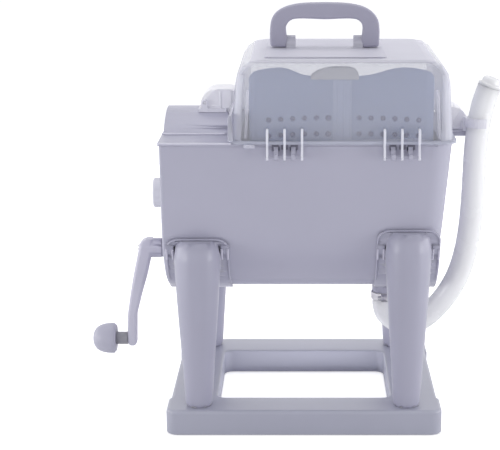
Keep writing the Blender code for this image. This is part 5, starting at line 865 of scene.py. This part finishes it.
def add_basket_detail():
    """Dark dishes of painted shade in the front wall's holes, and the fine upright lines of its middle band.
    """
    mesh = NODES["basket"].data
    tree = BVHTree.FromPolygons([v.co for v in mesh.vertices], [tuple(p.vertices) for p in mesh.polygons])
    form = bmesh.new()
    for hand in (-1, 1):
        for column in range(HOLES_PER_SIDE):
            away = HOLE_INNER_X + column * HOLE_PITCH_X
            for height in HOLE_HEIGHTS:
                x = BASKET_CENTRE_X + hand * away
                z = height - HOLE_SAG * (away / HOLE_OUTER_X) ** 2
                # The wall is found beside the hole, because a ray would pass through the hole itself
                add_painted_hole_shade(form, x, front_wall(tree, x + 2 * HOLE_RADIUS, z), z)
    go_with(form_piece("basket_painted_hole_shade", form, "hole"), "basket")
    for number, x in enumerate(BAND_LINES):
        points = []
        for step in range(BAND_LINE_STEPS + 1):
            z = BAND_LINE_BOTTOM + (BAND_LINE_TOP - BAND_LINE_BOTTOM) * step / BAND_LINE_STEPS
            points.append((x, front_wall(tree, x, z), z))
        add_tube("basket_band_line_%d" % (number + 1), points, BAND_LINE_RADIUS, "basket_band", "basket")


def add_lid_beads():
    """The milky beads that stiffen the lid's front corners."""
    for number, (x, way) in enumerate(BEADS):
        points = []
        for step in range(BEAD_STEPS + 1):
            share = step / BEAD_STEPS
            lean = BEAD_LEAN * share
            points.append((x + way * lean, BEAD_Y + lean / 2, BEAD_BOTTOM + (BEAD_TOP - BEAD_BOTTOM) * share))
        add_tube("lid_bead_%d" % (number + 1), points, BEAD_RADIUS, "bead", "lid")


def add_hinge_slots():
    """Dark plates of painted shade in the slots of the deck's front lip, between the lid's hinge ribs."""
    form = bmesh.new()
    for left, right in HINGE_SLOTS:
        corners = ((left, HINGE_SLOT_BOTTOM), (right, HINGE_SLOT_BOTTOM), (right, HINGE_SLOT_TOP),
                   (left, HINGE_SLOT_TOP))
        outline = [(x + SHIFT_X, HINGE_SLOT_FRONT, z) for x, z in corners]
        push(form, outline, (0.0, HINGE_SLOT_BACK - HINGE_SLOT_FRONT, 0.0))
    slots = form_piece("hinge_slots", form, "slot")
    soften(slots, HINGE_SLOT_EDGE, HINGE_SLOT_SEGMENTS)
    go_with(slots, "top_frame")


def add_rib_crests():
    """The upper ends of the hinge ribs, where they run up the lid's front wall."""
    thickness = (2 * CREST_HALF_THICKNESS, 0.0, 0.0)
    for centre in RIB_CENTRES:
        for step in (-1, 0, 1):
            x = centre + step * RIB_PITCH + SHIFT_X
            outline = [(x - CREST_HALF_THICKNESS, y, z) for y, z in CREST_OUTLINE]
            add_plate("rib_crest_%d" % round(1000 * x), outline, thickness, "lid_ribs", "lid")


def add_handle():
    """The bowed carrying handle, with rounded edges and slightly slanting feet."""
    route = smooth_route([(x, 0.0, z) for x, z in HANDLE_OUTER], HANDLE_STEPS)
    route += smooth_route([(x, 0.0, z) for x, z in HANDLE_INNER], HANDLE_STEPS)
    form = bmesh.new()
    push(form, [(p.x + SHIFT_X, -HANDLE_HALF_DEPTH, p.z) for p in route], (0.0, 2 * HANDLE_HALF_DEPTH, 0.0))
    for face in form.faces:
        face.smooth = True
    handle = form_piece("carry_handle", form, "handle")
    soften(handle, HANDLE_ROUND, HANDLE_SEGMENTS).angle_limit = HANDLE_SHARP_ANGLE
    even_shading(handle)
    stand_in(handle, "lid_handle")


def add_edges():
    """The rounded edges that catch the light, the deck's and the arch's in a lighter material as a painted
    highlight.
    """
    for name, node, finish, radius, start, end in EDGES:
        add_tube(name, (start, end), radius, finish, node)


add_camera()
dress_nodes()
add_hose()
add_skins()
add_saddle_lips()
add_clips()
add_lock_cheeks("left_lock")
add_lock_cheeks("right_lock")
add_lock_end("left_lock", 1)
add_lock_end("right_lock", -1)
add_basket_detail()
add_lid_beads()
add_hinge_slots()
add_rib_crests()
add_handle()
add_edges()
add_lid_skirt()
add_lock_lip()
set_up_world()
add_floor()
add_lamps()
SCENE.view_settings.view_transform = "Standard"
